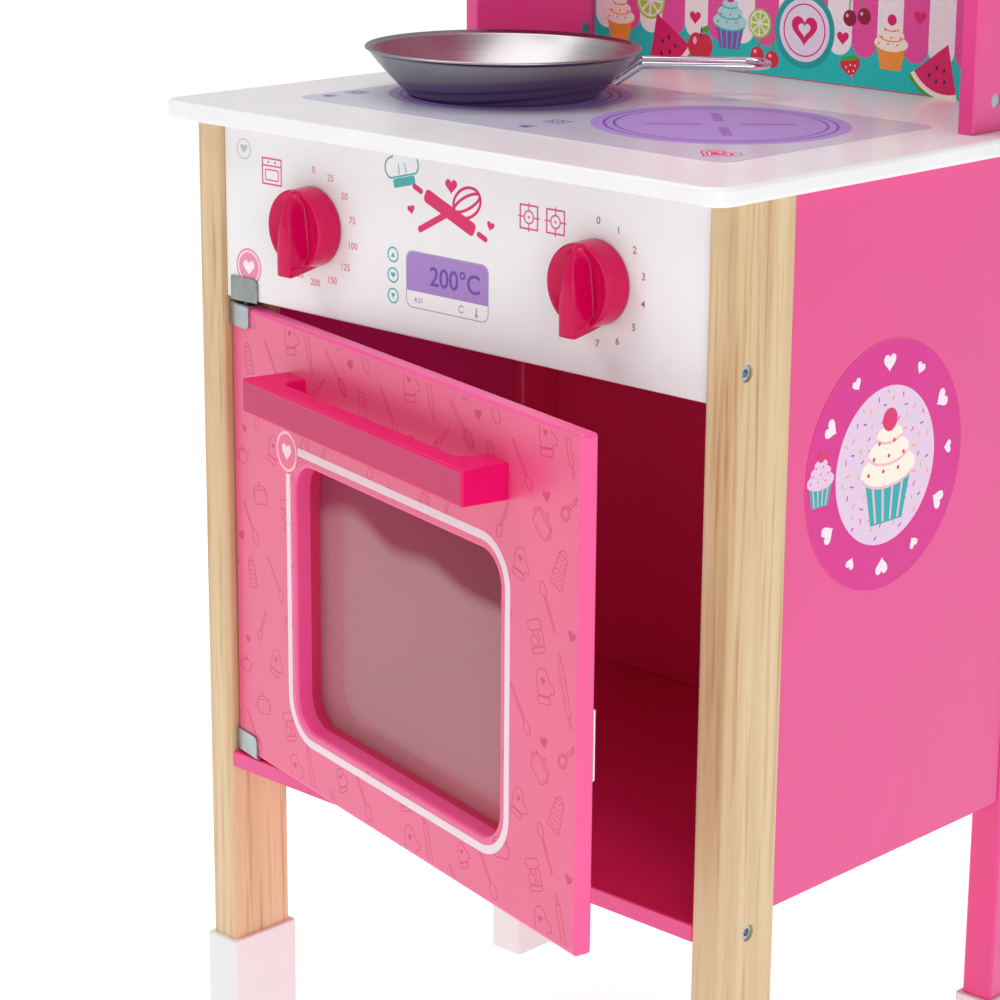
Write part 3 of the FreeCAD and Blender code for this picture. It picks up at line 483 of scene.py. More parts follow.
# These nodes share a slot with other parts, but get a material of their own. Inside the oven, and on the rear
# left leg that stands in it, the pink lacquer is swapped for its redder copy, which paints in the oven's
# shade.
# The window frame and the upper bracket get a tone of their own.
OWN_FINISH = {"oven_floor": PAINTED_SHADE_INSIDE_LACQUER, "oven_back": PAINTED_SHADE_INSIDE_LACQUER, "leg_rear_left": PAINTED_SHADE_INSIDE_LACQUER,
              "window_frame": FRAME_LACQUER, "upper_hinge_bracket": BRACKET_STEEL}
for name, node in frame["nodes"].items():
    for slot_of_node in node.material_slots:
        finish = slot_of_node.material.name.split(".")[0]
        slot_of_node.material = OWN_FINISH.get(name, FINISHES[finish])
print("finished", len(frame["nodes"]), "CAD nodes")

# %% [markdown]
# ## Knobs
#
# A knob is one moulding: a round body, and across its face a grip that starts as a point at the rim,
# widens, and ends in a square tail that reaches past the rim. Hollows are scooped out on both sides for the
# fingers. It could be sculpted by hand, but as a height over each point of the face it is exact and its
# edges stay crisp: the same function gives the ridge, the scoops and the rounded rim, and the outline steps
# out where the tail is.


# %% Knob surface
TAIL_HALF = 4.7   # half the tail's width, mm
KNOB_RIDGE = 8.0  # how far the blade stands over the rim, mm
POINT_HALF = 0.2  # half the blade's width at its point, mm
FLANK = 2.6       # width of the slope at the blade's foot, mm
DISH = 4.6        # depth of the hollows, mm
RIM_ROUND = 0.9   # radius of the rim's edge, mm
EDGE_RINGS, WALL_RINGS = 6, 12


def ease(value):
    """Smooth step from 0 to 1: t^2 (3 - 2 t)."""
    t = np.clip(value, 0, 1)
    return t * t * (3 - 2 * t)


def knob_outline(angle, radius, tail_half, tail_reach):
    """Distance from the centre to the rim: the circle, or the tail's rectangle where it lies further out."""
    s, c = np.sin(angle), np.cos(angle)
    to_side = tail_half / np.maximum(np.abs(c), 1e-6)
    to_end = tail_reach / np.maximum(-s, 1e-6)
    tail = np.where(s < 0, np.minimum(to_side, to_end), 0)
    return np.maximum(radius, tail)


def knob_height(x, z, radius, body):
    """Height over the panel: a blade whose crest is a quarter ellipse, between two dished hollows."""
    down = np.clip((radius - z) / (1.5 * radius), 0, 1)
    half = POINT_HALF + (TAIL_HALF - POINT_HALF) * down ** 0.8
    crest = KNOB_RIDGE * np.sqrt(1 - (1 - down) ** 2)
    softened = 0.7 * np.clip(np.abs(x) / np.maximum(half, 0.5), 0, 1) ** 3 * down
    beside = np.maximum(np.abs(x) - half, 0)
    flank = np.clip(1 - beside / FLANK, 0, 1) ** 1.4
    # Each hollow is deepest at the foot of the blade and rises to the level of the rim.
    chord = np.sqrt(np.maximum((radius - 0.8) ** 2 - z ** 2, 0))
    across = np.clip((np.abs(x) - half) / np.maximum(chord - half, 0.5), 0, 1)
    dish = DISH * (1 - across) ** 1.5 * ease(down * 3) * ease((radius - np.hypot(x, z)) / 4.5)
    return body + (crest - softened) * flank - dish * (1 - flank)


def knob_points(at, radius, body, tail, rows=64, columns=288):
    """Rings of points from the middle of the face to the rim, then over its round edge and down the side."""
    angle = np.linspace(0, 2 * np.pi, columns, endpoint=False)
    rim = knob_outline(angle, radius, TAIL_HALF, radius + tail)
    reach = np.concatenate([np.linspace(0.02, 1, rows) ** 0.8, np.ones(EDGE_RINGS)])
    spread = reach[:, None] * (rim - RIM_ROUND)[None, :]
    turn = np.radians(np.concatenate([np.zeros(rows), np.linspace(15, 90, EDGE_RINGS)]))[:, None]
    spread = spread + RIM_ROUND * np.sin(turn)
    x, z = spread * np.cos(angle), spread * np.sin(angle)
    height = knob_height(x, z, radius, body) - RIM_ROUND * (1 - np.cos(turn))
    # Going down to the panel, the tail's outline runs back into the circle.
    wall = np.linspace(0.92, 0, WALL_RINGS)[:, None]
    outline = radius + 0.4 * (1 - wall) + (rim - radius) * wall ** 0.8
    x = np.vstack([x, outline * np.cos(angle)])
    z = np.vstack([z, outline * np.sin(angle)])
    height = np.vstack([height, height[-1] * wall])
    return np.stack([x, -height, z], -1) * MM + np.asarray(at)


def shell_faces(rows, columns):
    """A grid closed round its columns, with its first and last rows capped by one polygon each."""
    faces = grid_faces(rows, columns, close_columns=True)
    first = list(range(columns))
    last = list(range((rows - 1) * columns, rows * columns))[::-1]
    return faces + [first, last]


for node, joint in (("oven_knob", "oven_knob_turn"), ("hob_knob", "hob_knob_turn")):
    low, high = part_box(node)
    axis_at = np.array(joints[joint]["pos_m"], float)
    radius = (high.z - axis_at[2]) / MM
    tail = (axis_at[2] - low.z) / MM - radius
    depth = (high.y - low.y) / MM
    grid = knob_points((axis_at[0], high.y, axis_at[2]), radius - 0.5, depth - KNOB_RIDGE, tail)
    rows, columns = grid.shape[:2]
    knob = mesh_object(node + "_moulding", grid.reshape(-1, 3), shell_faces(rows, columns), PINK_ABS, node)
    fix_normals(knob)
    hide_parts(node)
    print(knob.name, "radius", round(radius, 1), "mm,", len(knob.data.polygons), "faces")

# %% [markdown]
# ## Frying pan
#
# The pan is pressed and spun from 0.9 mm stainless sheet, with a flat base, a round knee and a leaning wall
# that ends in a bright rolled lip. One profile turned about the axis gives all of it. The lathe leaves
# hair-fine circular scratches, so the metal's bump and roughness follow the distance from the axis.

# %% Pan surface
pan_low, pan_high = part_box("pan_bowl")
pan_centre = (np.array(pan_low) + np.array(pan_high)) / 2
pan_rim = (pan_high.x - pan_low.x) / 2 / MM
pan_height = (pan_high.z - pan_low.z) / MM


WALL, LIP = 0.9, 0.75     # thickness of the sheet and radius of the rolled lip, mm
KNEE, KNEE_TURN = 6.5, 52  # radius of the knee in mm, and how far it turns in degrees
BASE_INSET = 25.5         # the flat base ends this far inside the rim, mm
FLAT_ROWS = 14


def pan_profile(rim, height):
    """Radius and height out along the base and up outside, over a round lip and down inside to the axis."""
    knee = np.radians(np.linspace(0, KNEE_TURN, 9))
    base_r = rim - BASE_INSET
    low_r = base_r + KNEE * np.sin(knee)
    low_z = KNEE * (1 - np.cos(knee))
    rise = np.linspace(0, 1, 12)[1:]
    wall_r = low_r[-1] + (rim - LIP - low_r[-1]) * rise
    wall_z = low_z[-1] + (height - LIP - low_z[-1]) * (0.8 * rise + 0.2 * rise ** 2)
    out_r, out_z = np.concatenate([low_r, wall_r]), np.concatenate([low_z, wall_z])
    over = np.radians(np.linspace(-30, 190, 14))
    lip_r, lip_z = rim - LIP + LIP * np.cos(over), height - LIP + LIP * np.sin(over)
    in_r, in_z = out_r[::-1] - WALL * 0.9, out_z[::-1] + WALL * 0.8
    flat = np.linspace(0.4, base_r - 1, FLAT_ROWS)
    radii = np.concatenate([flat, out_r, lip_r, in_r, flat[::-1]])
    return radii, np.concatenate([np.zeros(FLAT_ROWS), out_z, lip_z, in_z, np.full(FLAT_ROWS, WALL)])


def turned_surface(radii, heights, centre, columns=128):
    """A profile spun about a vertical axis: (r cos a, r sin a, h)."""
    angle = np.linspace(0, 2 * np.pi, columns, endpoint=False)
    x = radii[:, None] * np.cos(angle)
    y = radii[:, None] * np.sin(angle)
    z = np.broadcast_to(heights[:, None], x.shape)
    return np.stack([x, y, z], -1) * MM + np.asarray(centre)


def spun_stainless(name, axis_at, line_mm):
    """Stainless steel with circular brushing: noise read along the distance from the axis."""
    material, tree = new_material(name)
    local = add(tree, "ShaderNodeVectorMath", {0: object_space(tree), 1: tuple(axis_at)},
                operation="SUBTRACT")
    flat = add(tree, "ShaderNodeVectorMath", {0: local.outputs["Vector"], 1: (1, 1, 0)}, operation="MULTIPLY")
    radius = add(tree, "ShaderNodeVectorMath", {0: flat.outputs["Vector"]}, operation="LENGTH")
    split = add(tree, "ShaderNodeSeparateXYZ", {"Vector": local.outputs["Vector"]})
    lane = add(tree, "ShaderNodeCombineXYZ", {"X": radius.outputs["Value"], "Y": split.outputs["Z"]})
    scratch = noise(tree, lane.outputs["Vector"], line_mm, 3.0)
    around = add(tree, "ShaderNodeTangent", direction_type="RADIAL", axis="Z")
    return surfaced(material, {
        "Base Color": tinted(tree, "#ABA7A9", ranged(tree, scratch, 0.96, 1.04, *MIDDLE)), "Metallic": 1.0,
        "Roughness": ranged(tree, scratch, 0.2, 0.3), "Anisotropic": 0.85,
        "Tangent": around.outputs["Tangent"], "Normal": bumped(tree, scratch, 0.1, 0.02)})


pan_axis = (pan_centre[0], pan_centre[1], pan_low.z)
# Brush lines 0.8 mm apart: the real ones are finer than a render can show.
STAINLESS = spun_stainless("spun_brushed_stainless_steel", pan_axis, 0.8)
grid = turned_surface(*pan_profile(pan_rim, pan_height), pan_axis)
rows, columns = grid.shape[:2]
pan = mesh_object("frying_pan_bowl", grid.reshape(-1, 3), shell_faces(rows, columns), STAINLESS, "pan")
fix_normals(pan)
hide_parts("pan_bowl")
print(pan.name, "rim radius", round(pan_rim, 1), "mm,", len(pan.data.polygons), "faces")

# %% [markdown]
# ## Front edge of the oven floor
#
# Inside the oven the floor board carries the redder copy of the pink, which paints in the oven's shade. Its
# front edge, where light falls, keeps the same pink as the outside. The edge coat is a thin slab on the front
# of the board, from the left leg to the right one.

# %% Edge coat
board_low, board_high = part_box("oven_floor")
EDGE_COAT, BOARD_ROUND = 0.05 * MM, 0.6 * MM
edge_x = (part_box("leg_front_left")[1].x + MM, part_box("leg_front_right")[0].x - MM)
edge_y = (board_low.y - EDGE_COAT, board_low.y)
edge_z = (board_low.z + BOARD_ROUND, board_high.z - BOARD_ROUND)
corners = [(x, y, z) for x in edge_x for y in edge_y for z in edge_z]
sides = [(0, 1, 3, 2), (4, 6, 7, 5), (0, 4, 5, 1), (2, 3, 7, 6), (0, 2, 6, 4), (1, 5, 7, 3)]
edge_coat = mesh_object("oven_floor_edge_coat", corners, sides, PINK_LACQUER, "cabinet",
                        smooth=False)
fix_normals(edge_coat)
print(edge_coat.name, "spans mm", np.round(np.array(edge_x) / MM, 1))

# %% [markdown]
# ## A small kit for printing
#
# Artwork is a list of marks. Each has an ink, its points in artwork millimetres, a line width or none when
# the shape is filled, and a layer, because later inks are printed over earlier ones. A line becomes a flat
# band along its path and a filled shape becomes a fan round its middle, both closed and a few hundredths of
# a millimetre thick, so they catch light like real ink films.

# %% Print kit
Mark = namedtuple("Mark", "ink points width closed layer")
LAYER_MM = 0.02
LIFT_MM, LIFTS = 0.0005, 37
CAPITAL = 0.73  # height of the typeface's capitals for a size of 1


def line(ink, points, width=0.5, closed=False, layer=1):
    """A drawn line."""
    return Mark(ink, np.asarray(points, float), width, closed, layer)


def fill(ink, points, layer=1):
    """A filled outline that can be seen whole from its middle."""
    return Mark(ink, np.asarray(points, float), 0, True, layer)


def arc(x, y, radius, start=0, stop=360, squash=1.0, count=25):
    """Points on a circle or an upright ellipse: (x + r cos a, y + squash r sin a)."""
    angle = np.radians(np.linspace(start, stop, count))
    return np.stack([x + radius * np.cos(angle), y + squash * radius * np.sin(angle)], 1)


def disc(x, y, radius, squash=1.0, count=32):
    """A whole circle, without its doubled last point."""
    return arc(x, y, radius, 0, 360 - 360 / count, squash, count)


def round_box(x0, x1, y0, y1, radius, count=7):
    """A rectangle whose corners are quarter circles."""
    corners = [(x1 - radius, y1 - radius, 0), (x0 + radius, y1 - radius, 90),
               (x0 + radius, y0 + radius, 180), (x1 - radius, y0 + radius, 270)]
    return np.vstack([arc(x, y, radius, a, a + 90, 1.0, count) for x, y, a in corners])


def heart(x, y, size, count=36):
    """The heart curve: x = 16 sin^3 t, y = 13 cos t - 5 cos 2t - 2 cos 3t - cos 4t, scaled to a width."""
    t = np.linspace(0, 2 * np.pi, count, endpoint=False)
    across = 16 * np.sin(t) ** 3
    up = 13 * np.cos(t) - 5 * np.cos(2 * t) - 2 * np.cos(3 * t) - np.cos(4 * t)
    return np.stack([x + across * size / 32, y + (up + 2) * size / 32], 1)


def placed(marks, x, y, turn=0.0):
    """Marks turned by an angle in degrees, then moved."""
    c, s = math.cos(math.radians(turn)), math.sin(math.radians(turn))
    spin = np.array([[c, s], [-s, c]])
    return [mark._replace(points=mark.points @ spin + (x, y)) for mark in marks]


def sized(marks, k):
    """Marks k times as large, with the width of their lines unchanged."""
    return [mark._replace(points=mark.points * k) for mark in marks]


def band(mark, top):
    """A closed flat band along a line: each point moves by half the width along its mitre."""
    points = mark.points
    if mark.closed:
        before, after = np.roll(points, 1, 0), np.roll(points, -1, 0)
    else:
        before = np.vstack([2 * points[:1] - points[1:2], points[:-1]])
        after = np.vstack([points[1:], 2 * points[-1:] - points[-2:-1]])
    normals = []
    for step in (points - before, after - points):
        length = np.maximum(np.linalg.norm(step, axis=1, keepdims=True), 1e-9)
        normals.append(np.stack([-step[:, 1], step[:, 0]], 1) / length)
    mitre = sum(normals) / np.maximum(1 + (normals[0] * normals[1]).sum(1, keepdims=True), 0.4)
    left, right = points + mitre * mark.width / 2, points - mitre * mark.width / 2
    corners = np.stack([left, left, right, right], 1)
    heights = np.broadcast_to(np.array([-LAYER_MM, top, top, -LAYER_MM])[None, :, None], (len(points), 4, 1))
    vertices = np.concatenate([corners, heights], 2).reshape(-1, 3)
    faces = grid_faces(len(points), 4, close_rows=mark.closed, close_columns=True)
    if not mark.closed:
        end = 4 * (len(points) - 1)
        faces += [[0, 1, 2, 3], [end + 3, end + 2, end + 1, end]]
    return vertices, faces


def fan(mark, top):
    """A closed flat plate: its outline at two heights, and a fan of triangles on each face."""
    count = len(mark.points)
    middle = mark.points.mean(0)
    flat = np.vstack([mark.points, mark.points, middle, middle])
    heights = np.concatenate([np.full(count, top), np.full(count, -LAYER_MM), [top, -LAYER_MM]])
    here = np.arange(count)
    after = (here + 1) % count
    upper = np.stack([here, after, np.full(count, 2 * count)], 1)
    lower = np.stack([after + count, here + count, np.full(count, 2 * count + 1)], 1)
    side = np.stack([here, here + count, after + count, after], 1)
    return np.column_stack([flat, heights]), upper.tolist() + lower.tolist() + side.tolist()


def joined(parts):
    """Several (vertices, faces) as one."""
    starts = np.cumsum([0] + [len(vertices) for vertices, faces in parts])
    vertices = np.vstack([vertices for vertices, faces in parts])
    faces = [[index + start for index in face] for start, (own, part) in zip(starts, parts) for face in part]
    return vertices, faces


def digits(text, x, y, height, layer=1):
    """A number as a mesh, centred at (x, y), in Blender's own typeface, drawn slightly bold."""
    curve = bpy.data.curves.new("digits", "FONT")
    curve.body = text
    curve.size = height / CAPITAL
    curve.align_x = "CENTER"
    curve.offset = 0.018 * height
    curve.extrude = LAYER_MM * (layer + 1) / 2
    holder = bpy.data.objects.new("digits", curve)
    bpy.context.scene.collection.objects.link(holder)
    bpy.context.view_layer.update()
    mesh = bpy.data.meshes.new_from_object(holder.evaluated_get(bpy.context.evaluated_depsgraph_get()))
    flat = np.empty(len(mesh.vertices) * 3)
    mesh.vertices.foreach_get("co", flat)
    vertices = flat.reshape(-1, 3) + (x, y - height / 2, LAYER_MM * (layer - 1) / 2)
    faces = [list(polygon.vertices) for polygon in mesh.polygons]
    bpy.data.objects.remove(holder)
    bpy.data.curves.remove(curve)
    bpy.data.meshes.remove(mesh)
    return vertices, faces


def screen_ink(name, colour):
    """Screen-printed ink: its tone and sheen vary a little, as the mesh lays the film unevenly."""
    material, tree = new_material(name)
    lay = noise(tree, object_space(tree), 1.5, 3.0)
    return surfaced(material, {"Base Color": tinted(tree, colour, ranged(tree, lay, 0.95, 1.05, *MIDDLE)),
                               "Roughness": ranged(tree, lay, 0.36, 0.48), "IOR": 1.5})


INKS = {}


def print_art(prefix, plane, marks, inks, numbers=()):
    """One piece for each ink: its marks and its numbers, laid on the plane."""
    for ink, colour in inks.items():
        parts = []
        for index, mark in enumerate(marks):
            if mark.ink == ink:
                # Marks that overlap in one layer would share a plane, so each lies a little higher.
                top = LAYER_MM * mark.layer + LIFT_MM * (index % LIFTS)
                parts.append(band(mark, top) if mark.width else fan(mark, top))
        parts += [digits(*number) for own, *number in numbers if own == ink]
        if not parts:
            continue
        if (ink, colour) not in INKS:
            INKS[ink, colour] = screen_ink("screen_printed_" + ink + "_ink", colour)
        vertices, faces = joined(parts)
        piece = mesh_object(prefix + "_" + ink, on_plane(plane, vertices), faces, INKS[ink, colour],
                            plane.body, smooth=False)
        fix_normals(piece)
        print(piece.name, len(faces), "faces")


print("print kit ready, one layer is", LAYER_MM, "mm")

# %% [markdown]
# ## Door print
#
# The door's face carries a printed pink film with a scatter of kitchen tools in thin darker lines, and a
# white line that frames the window. The scatter repeats like wallpaper, so one tile of tools is laid out
# and copied across, and lines that run off the film or into the window are cut there, as the real print is.

# %% Door film
TILE = 115.0
WINDOW = (64.5, 256.0, 226.5, 367.0, 16.0)
FILM = (2.0, 318.0, 196.2, 436.0, 3.0)


def grown(box, by):
    """A rounded rectangle (x0, x1, y0, y1, corner) moved outwards all round."""
    x0, x1, y0, y1, corner = box
    return x0 - by, x1 + by, y0 - by, y1 + by, corner + by


def framed_film(outer, inner, top):
    """A thin closed frame between two rounded rectangles: four loops of points, joined all round."""
    loops = [(outer, -LAYER_MM), (outer, top), (inner, top), (inner, -LAYER_MM)]
    points = [np.column_stack([outline, np.full(len(outline), height)])
              for outline, height in ((round_box(*box), height) for box, height in loops)]
    return np.vstack(points), grid_faces(4, len(points[0]), close_rows=True, close_columns=True)


points, faces = framed_film(FILM, grown(WINDOW, 1.6), LAYER_MM)
door_film = mesh_object("door_print_film", on_plane(DOOR, points), faces, DOOR_FILM, "door",
                        smooth=False)
fix_normals(door_film)
print(door_film.name, len(faces), "faces")

# %% [markdown]
# Each tool is a few strokes drawn upright round its own centre, then turned and moved into its place in the
# tile.


# %% Kitchen tools in line
THIN = 0.5


def outline(points):
    """A closed thin line in the tools' ink."""
    return line("rose", points, THIN, True)


def stroke(*points):
    """An open thin line in the tools' ink."""
    return line("rose", points, THIN)


def spoon(length, bowl=2.4):
    """An oval bowl with a slim handle hanging from it."""
    return [outline(disc(0, 0, bowl, 1.5, 18)), outline(round_box(-0.7, 0.7, -length, -1.5 * bowl, 0.6, 3))]


def whisk(length):
    """Three nested wire loops over a handle."""
    return [outline(disc(0, 0, r, 5.2 / r, 20)) for r in (0.9, 2.1, 3.3)] + [
        outline(round_box(-0.9, 0.9, -length, -5.4, 0.8, 3))]


def rolling_pin(length):
    """A long barrel with a short grip at each end, and a row of flour dots."""
    barrel = round_box(-1.8, 1.8, -length + 5, -5, 1.2, 3)
    grips = [outline(round_box(-0.8, 0.8, y, y + 5, 0.7, 3)) for y in (-5, -length)]
    flour = [fill("rose", disc(0, y, 0.4, 1, 6)) for y in np.arange(8 - length, -7, 3)]
    return [outline(barrel)] + grips + flour


def mitt(height):
    """An oven mitt: a rounded hand with a thumb, over a straight cuff."""
    k = height / 20
    thumb = arc(7.4, -0.4, 2.1, -120, 75, 1, 7)
    hand = np.vstack([arc(0, 4, 5, 0, 180, 1.1, 12), [(-5, -4)], [(5, -4)], thumb])
    return sized([outline(hand), outline(round_box(-5.4, 5.4, -8, -4.6, 0.8 / k, 3)),
                  fill("rose", heart(0, 3, 4, 16))], k)


def casserole(width):
    """A pot with a lid, a knob and two ears."""
    ears = [stroke((x, 1), (x * 1.25, 1), (x * 1.25, -1.2), (x, -1.2)) for x in (-7, 7)]
    lid = line("rose", arc(0, 3, 7.4, 180, 0, 0.32, 14), THIN, True)
    pot = [outline(round_box(-7, 7, -5.5, 3, 2, 4)), outline(disc(0, 6.4, 1.2, 1, 10)), lid]
    return sized(pot + ears, width / 18)


def grater(height):
    """A tapered plate full of slanted slots, with a bow handle."""
    slots = [stroke((x, y), (x + 1.6, y + 1)) for y in (-7, -4, -1, 2, 5) for x in (-3.4, -0.8, 1.8)]
    plate = outline([(-5, -9), (5, -9), (3.6, 8), (-3.6, 8)])
    return sized([plate, line("rose", arc(0, 8, 2.6, 0, 180, 1, 9), THIN)] + slots, height / 20)


def saucepan(radius):
    """A pan from above, with its handle."""
    return [outline(disc(0, 0, radius, 1.2, 20)), outline(disc(0, 0, radius * 0.72, 1.2, 20)),
            outline(round_box(-0.8, 0.8, -radius - 9, -1.2 * radius, 0.7, 3))]


def stand_mixer(height):
    """A base, a column and a head with its bowl."""
    k = height / 20
    return sized([outline(round_box(-7, 7, -10, -7, 1.2 / k, 3)),
                  outline(round_box(2.5, 6.5, -7, 3, 1 / k, 3)), outline(round_box(-7, 7, 3, 9, 2.6, 4)),
                  outline(round_box(-6, 0.5, -6, 0, 2, 4)), stroke((-2.6, 3), (-2.6, 0))], k)


def teapot(width):
    """A round pot with a spout, a handle and a lid."""
    handle = line("rose", arc(-5.4, 0, 3, 70, 290, 1, 12), THIN)
    lid = line("rose", arc(0, 3.6, 3, 180, 0, 0.3, 9), THIN, True)
    return sized([outline(disc(0, 0, 5.4, 0.85, 22)), stroke((5, -1), (8, 1), (9, 4)), handle,
                  outline(disc(0, 5.4, 1, 1, 8)), lid], width / 18)


def small_heart(size):
    """A filled heart in the tools' ink."""
    return [fill("rose", heart(0, 0, size, 20))]


def aimed(marks, start, end):
    """Marks placed at start and turned so that what hangs down points to end."""
    turn = math.degrees(math.atan2(end[0] - start[0], start[1] - end[1]))
    return placed(marks, *start, turn)


def cut_to(marks, inside):
    """Lines cut where they leave an area, and fills kept when they lie wholly in it."""
    kept = []
    for mark in marks:
        if inside(mark.points).all():
            kept.append(mark)
        elif mark.width:
            path = np.vstack([mark.points, mark.points[:1]]) if mark.closed else mark.points
            far = np.concatenate([[0], np.cumsum(np.linalg.norm(np.diff(path, axis=0), axis=1))])
            steps = np.linspace(0, far[-1], max(int(far[-1] / 0.4), 2))
            dense = np.column_stack([np.interp(steps, far, path[:, axis]) for axis in (0, 1)])
            runs = np.split(np.arange(len(dense)), np.flatnonzero(np.diff(inside(dense).astype(int))) + 1)
            kept += [mark._replace(points=dense[run], closed=False) for run in runs
                     if len(run) > 2 and inside(dense[run[:1]])[0]]
    return kept


def in_box(points, box):
    """Which points lie inside a rounded rectangle, by the distance to its inner rectangle."""
    x0, x1, y0, y1, corner = box
    dx = np.maximum(np.maximum(x0 + corner - points[:, 0], points[:, 0] - x1 + corner), 0)
    dy = np.maximum(np.maximum(y0 + corner - points[:, 1], points[:, 1] - y1 + corner), 0)
    return np.hypot(dx, dy) < corner


tile = (aimed(spoon(22), (279, 407), (265, 425)) + placed(mitt(19), 292, 315, 8)
        + aimed(rolling_pin(34), (304, 335), (314, 303)) + placed(small_heart(6), 293, 404, 10)
        + aimed(saucepan(3.2), (308, 400), (316, 408)) + placed(casserole(17), 290, 391, -40)
        + placed(mitt(17), 272, 368, -14) + placed(grater(19), 304, 373, -20)
        + aimed(spoon(20), (291, 361), (301, 343)) + placed(stand_mixer(16), 286, 338, 20)
        + placed(small_heart(6), 314, 345, -12) + aimed(whisk(22), (229, 416), (212, 432))
        + aimed(spoon(12, 1.8), (203, 408), (211, 416)) + placed(small_heart(6), 237, 429, 14)
        + aimed(spoon(20, 2.8), (252, 317), (240, 333)) + placed(grater(16), 248, 411, 12)
        + placed(small_heart(5), 242, 373, -10) + placed(teapot(15), 240, 358, 6)
        + placed(casserole(16), 258, 341, 12) + aimed(spoon(17, 2.2), (255, 379), (263, 395))
        + placed(mitt(14), 225, 325, 24) + aimed(whisk(20), (216, 392), (208, 374))
        + placed(teapot(14), 219, 352, -12))
icon_at, icon_radius = (57.0, 371.0), 9.8


def on_door_film(points):
    """Inside the film, outside the window and clear of the round badge."""
    clear = np.hypot(points[:, 0] - icon_at[0], points[:, 1] - icon_at[1]) > icon_radius
    return in_box(points, grown(FILM, -0.6)) & ~in_box(points, grown(WINDOW, 2.2)) & clear


door_marks = []
for column in range(-2, 2):
    for row in range(-2, 2):
        shift = (TILE * column, TILE * row)
        copies = [mark._replace(points=mark.points + shift, layer=2) for mark in tile]
        door_marks += cut_to(copies, on_door_film)

# The white line runs round the window, 8 mm out from it, and stops short of the badge on both sides.
left, right, low, high, bend = 58.1, 262.4, 220.1, 373.4, 22.0
gap = 11.5
frame_line = np.vstack([[(icon_at[0] + gap, high)], arc(right - bend, high - bend, bend, 90, 0, 1, 13),
                        arc(right - bend, low + bend, bend, 0, -90, 1, 13),
                        arc(left + bend, low + bend, bend, 270, 180, 1, 13), [(left, icon_at[1] - gap)]])
door_marks += [line("frame_white", frame_line, 4.2, layer=3),
               line("blush", disc(*icon_at, icon_radius), 1.5, True, 3),
               fill("frame_white", heart(icon_at[0], icon_at[1] - 0.5, 9.5), 3)]
print_art("door_print", DOOR, door_marks, {"rose": "#D0346A", "frame_white": "#EBD6E0", "blush": "#F2B9CC"})
print(len(door_marks), "marks on the door")

# %% [markdown]
# ## Control panel print
#
# The panel is printed in several inks: numbers round each dial, small signs that tell oven from hob, a
# clock display with three round buttons, and a playful picture in the middle, here a rolling pin crossed
# with a whisk and a chef's hat. The numbers follow a circle round the knob, and the display is a rounded
# box in two tones.

# %% Panel artwork
TOP = top_high.z / MM
OVEN_DIAL = (joints["oven_knob_turn"]["pos_m"][0] / MM, joints["oven_knob_turn"]["pos_m"][2] / MM)
HOB_DIAL = (joints["hob_knob_turn"]["pos_m"][0] / MM, joints["hob_knob_turn"]["pos_m"][2] / MM)
DIAL_RADIUS, DIAL_STEP = 28.4, 25.6  # mm, and degrees between two labels
DIGIT_HEIGHT, NUMBER_LAYER = 3.5, 3


def dial(labels, centre, ink):
    """Labels at even steps round a circle, clockwise from the top: (ink, text, x, y, height, layer)."""
    angles = np.radians(90 - DIAL_STEP * np.arange(len(labels)))
    return [(ink, text, centre[0] + DIAL_RADIUS * math.cos(a), centre[1] + DIAL_RADIUS * math.sin(a),
             DIGIT_HEIGHT, NUMBER_LAYER) for text, a in zip(labels, angles)]


def ring_heart(x, y, radius, ink, width):
    """A ring with a heart in it."""
    return [line(ink, disc(x, y, radius), width, True), fill(ink, heart(x, y, radius * 1.05))]


def oven_sign(x0, x1, y0, y1):
    """An oven seen from the front: a box, its panel line with two dots, and its window."""
    shelf = y0 + 0.72 * (y1 - y0)
    return [line("pink", [(x0, y0), (x1, y0), (x1, y1), (x0, y1)], 0.9, True),
            line("pink", [(x0, shelf), (x1, shelf)], 0.8),
            line("pink", round_box(x0 + 2.2, x1 - 2.2, y0 + 2, shelf - 2, 0.6, 3), 0.7, True),
            fill("pink", disc(x0 + 4.4, (shelf + y1) / 2, 0.7, 1, 10)),
            fill("pink", disc(x1 - 4.4, (shelf + y1) / 2, 0.7, 1, 10))]


def burner_sign(x, y, size):
    """A burner from above: a square, a ring, a dot and four short pan supports."""
    half = size / 2
    support = np.array([(half + 1.4, 0), (half - 2.2, 0)])
    rays = [line("pink", support @ np.array([[c, s], [-s, c]]) + (x, y), 0.7)
            for c, s in ((1, 0), (0, 1), (-1, 0), (0, -1))]
    return [line("pink", np.array([(-1, -1), (1, -1), (1, 1), (-1, 1)]) * half + (x, y), 0.9, True),
            line("pink", disc(x, y, size * 0.27), 0.8, True), fill("pink", disc(x, y, 0.7, 1, 10))] + rays


def chef_hat(x, y, width, ink):
    """A puffed crown of three bulges over a straight band, with two pleats."""
    k = width / 20
    crown = np.vstack([arc(5.5, 2, 4.6, -60, 100, 1, 10), arc(0, 5, 5.2, 35, 145, 1, 9),
                       arc(-5.5, 2, 4.6, 80, 240, 1, 10)])
    marks = [line(ink, crown, 0.9, True), fill(ink, round_box(-6.6, 6.6, -6.4, -2.6, 0.8 / k, 3)),
             line(ink, [(-2.2, -1), (-1.8, 3)], 0.6), line(ink, [(2.2, -1), (1.8, 3)], 0.6)]
    return placed(sized(marks, k), x, y, 14)


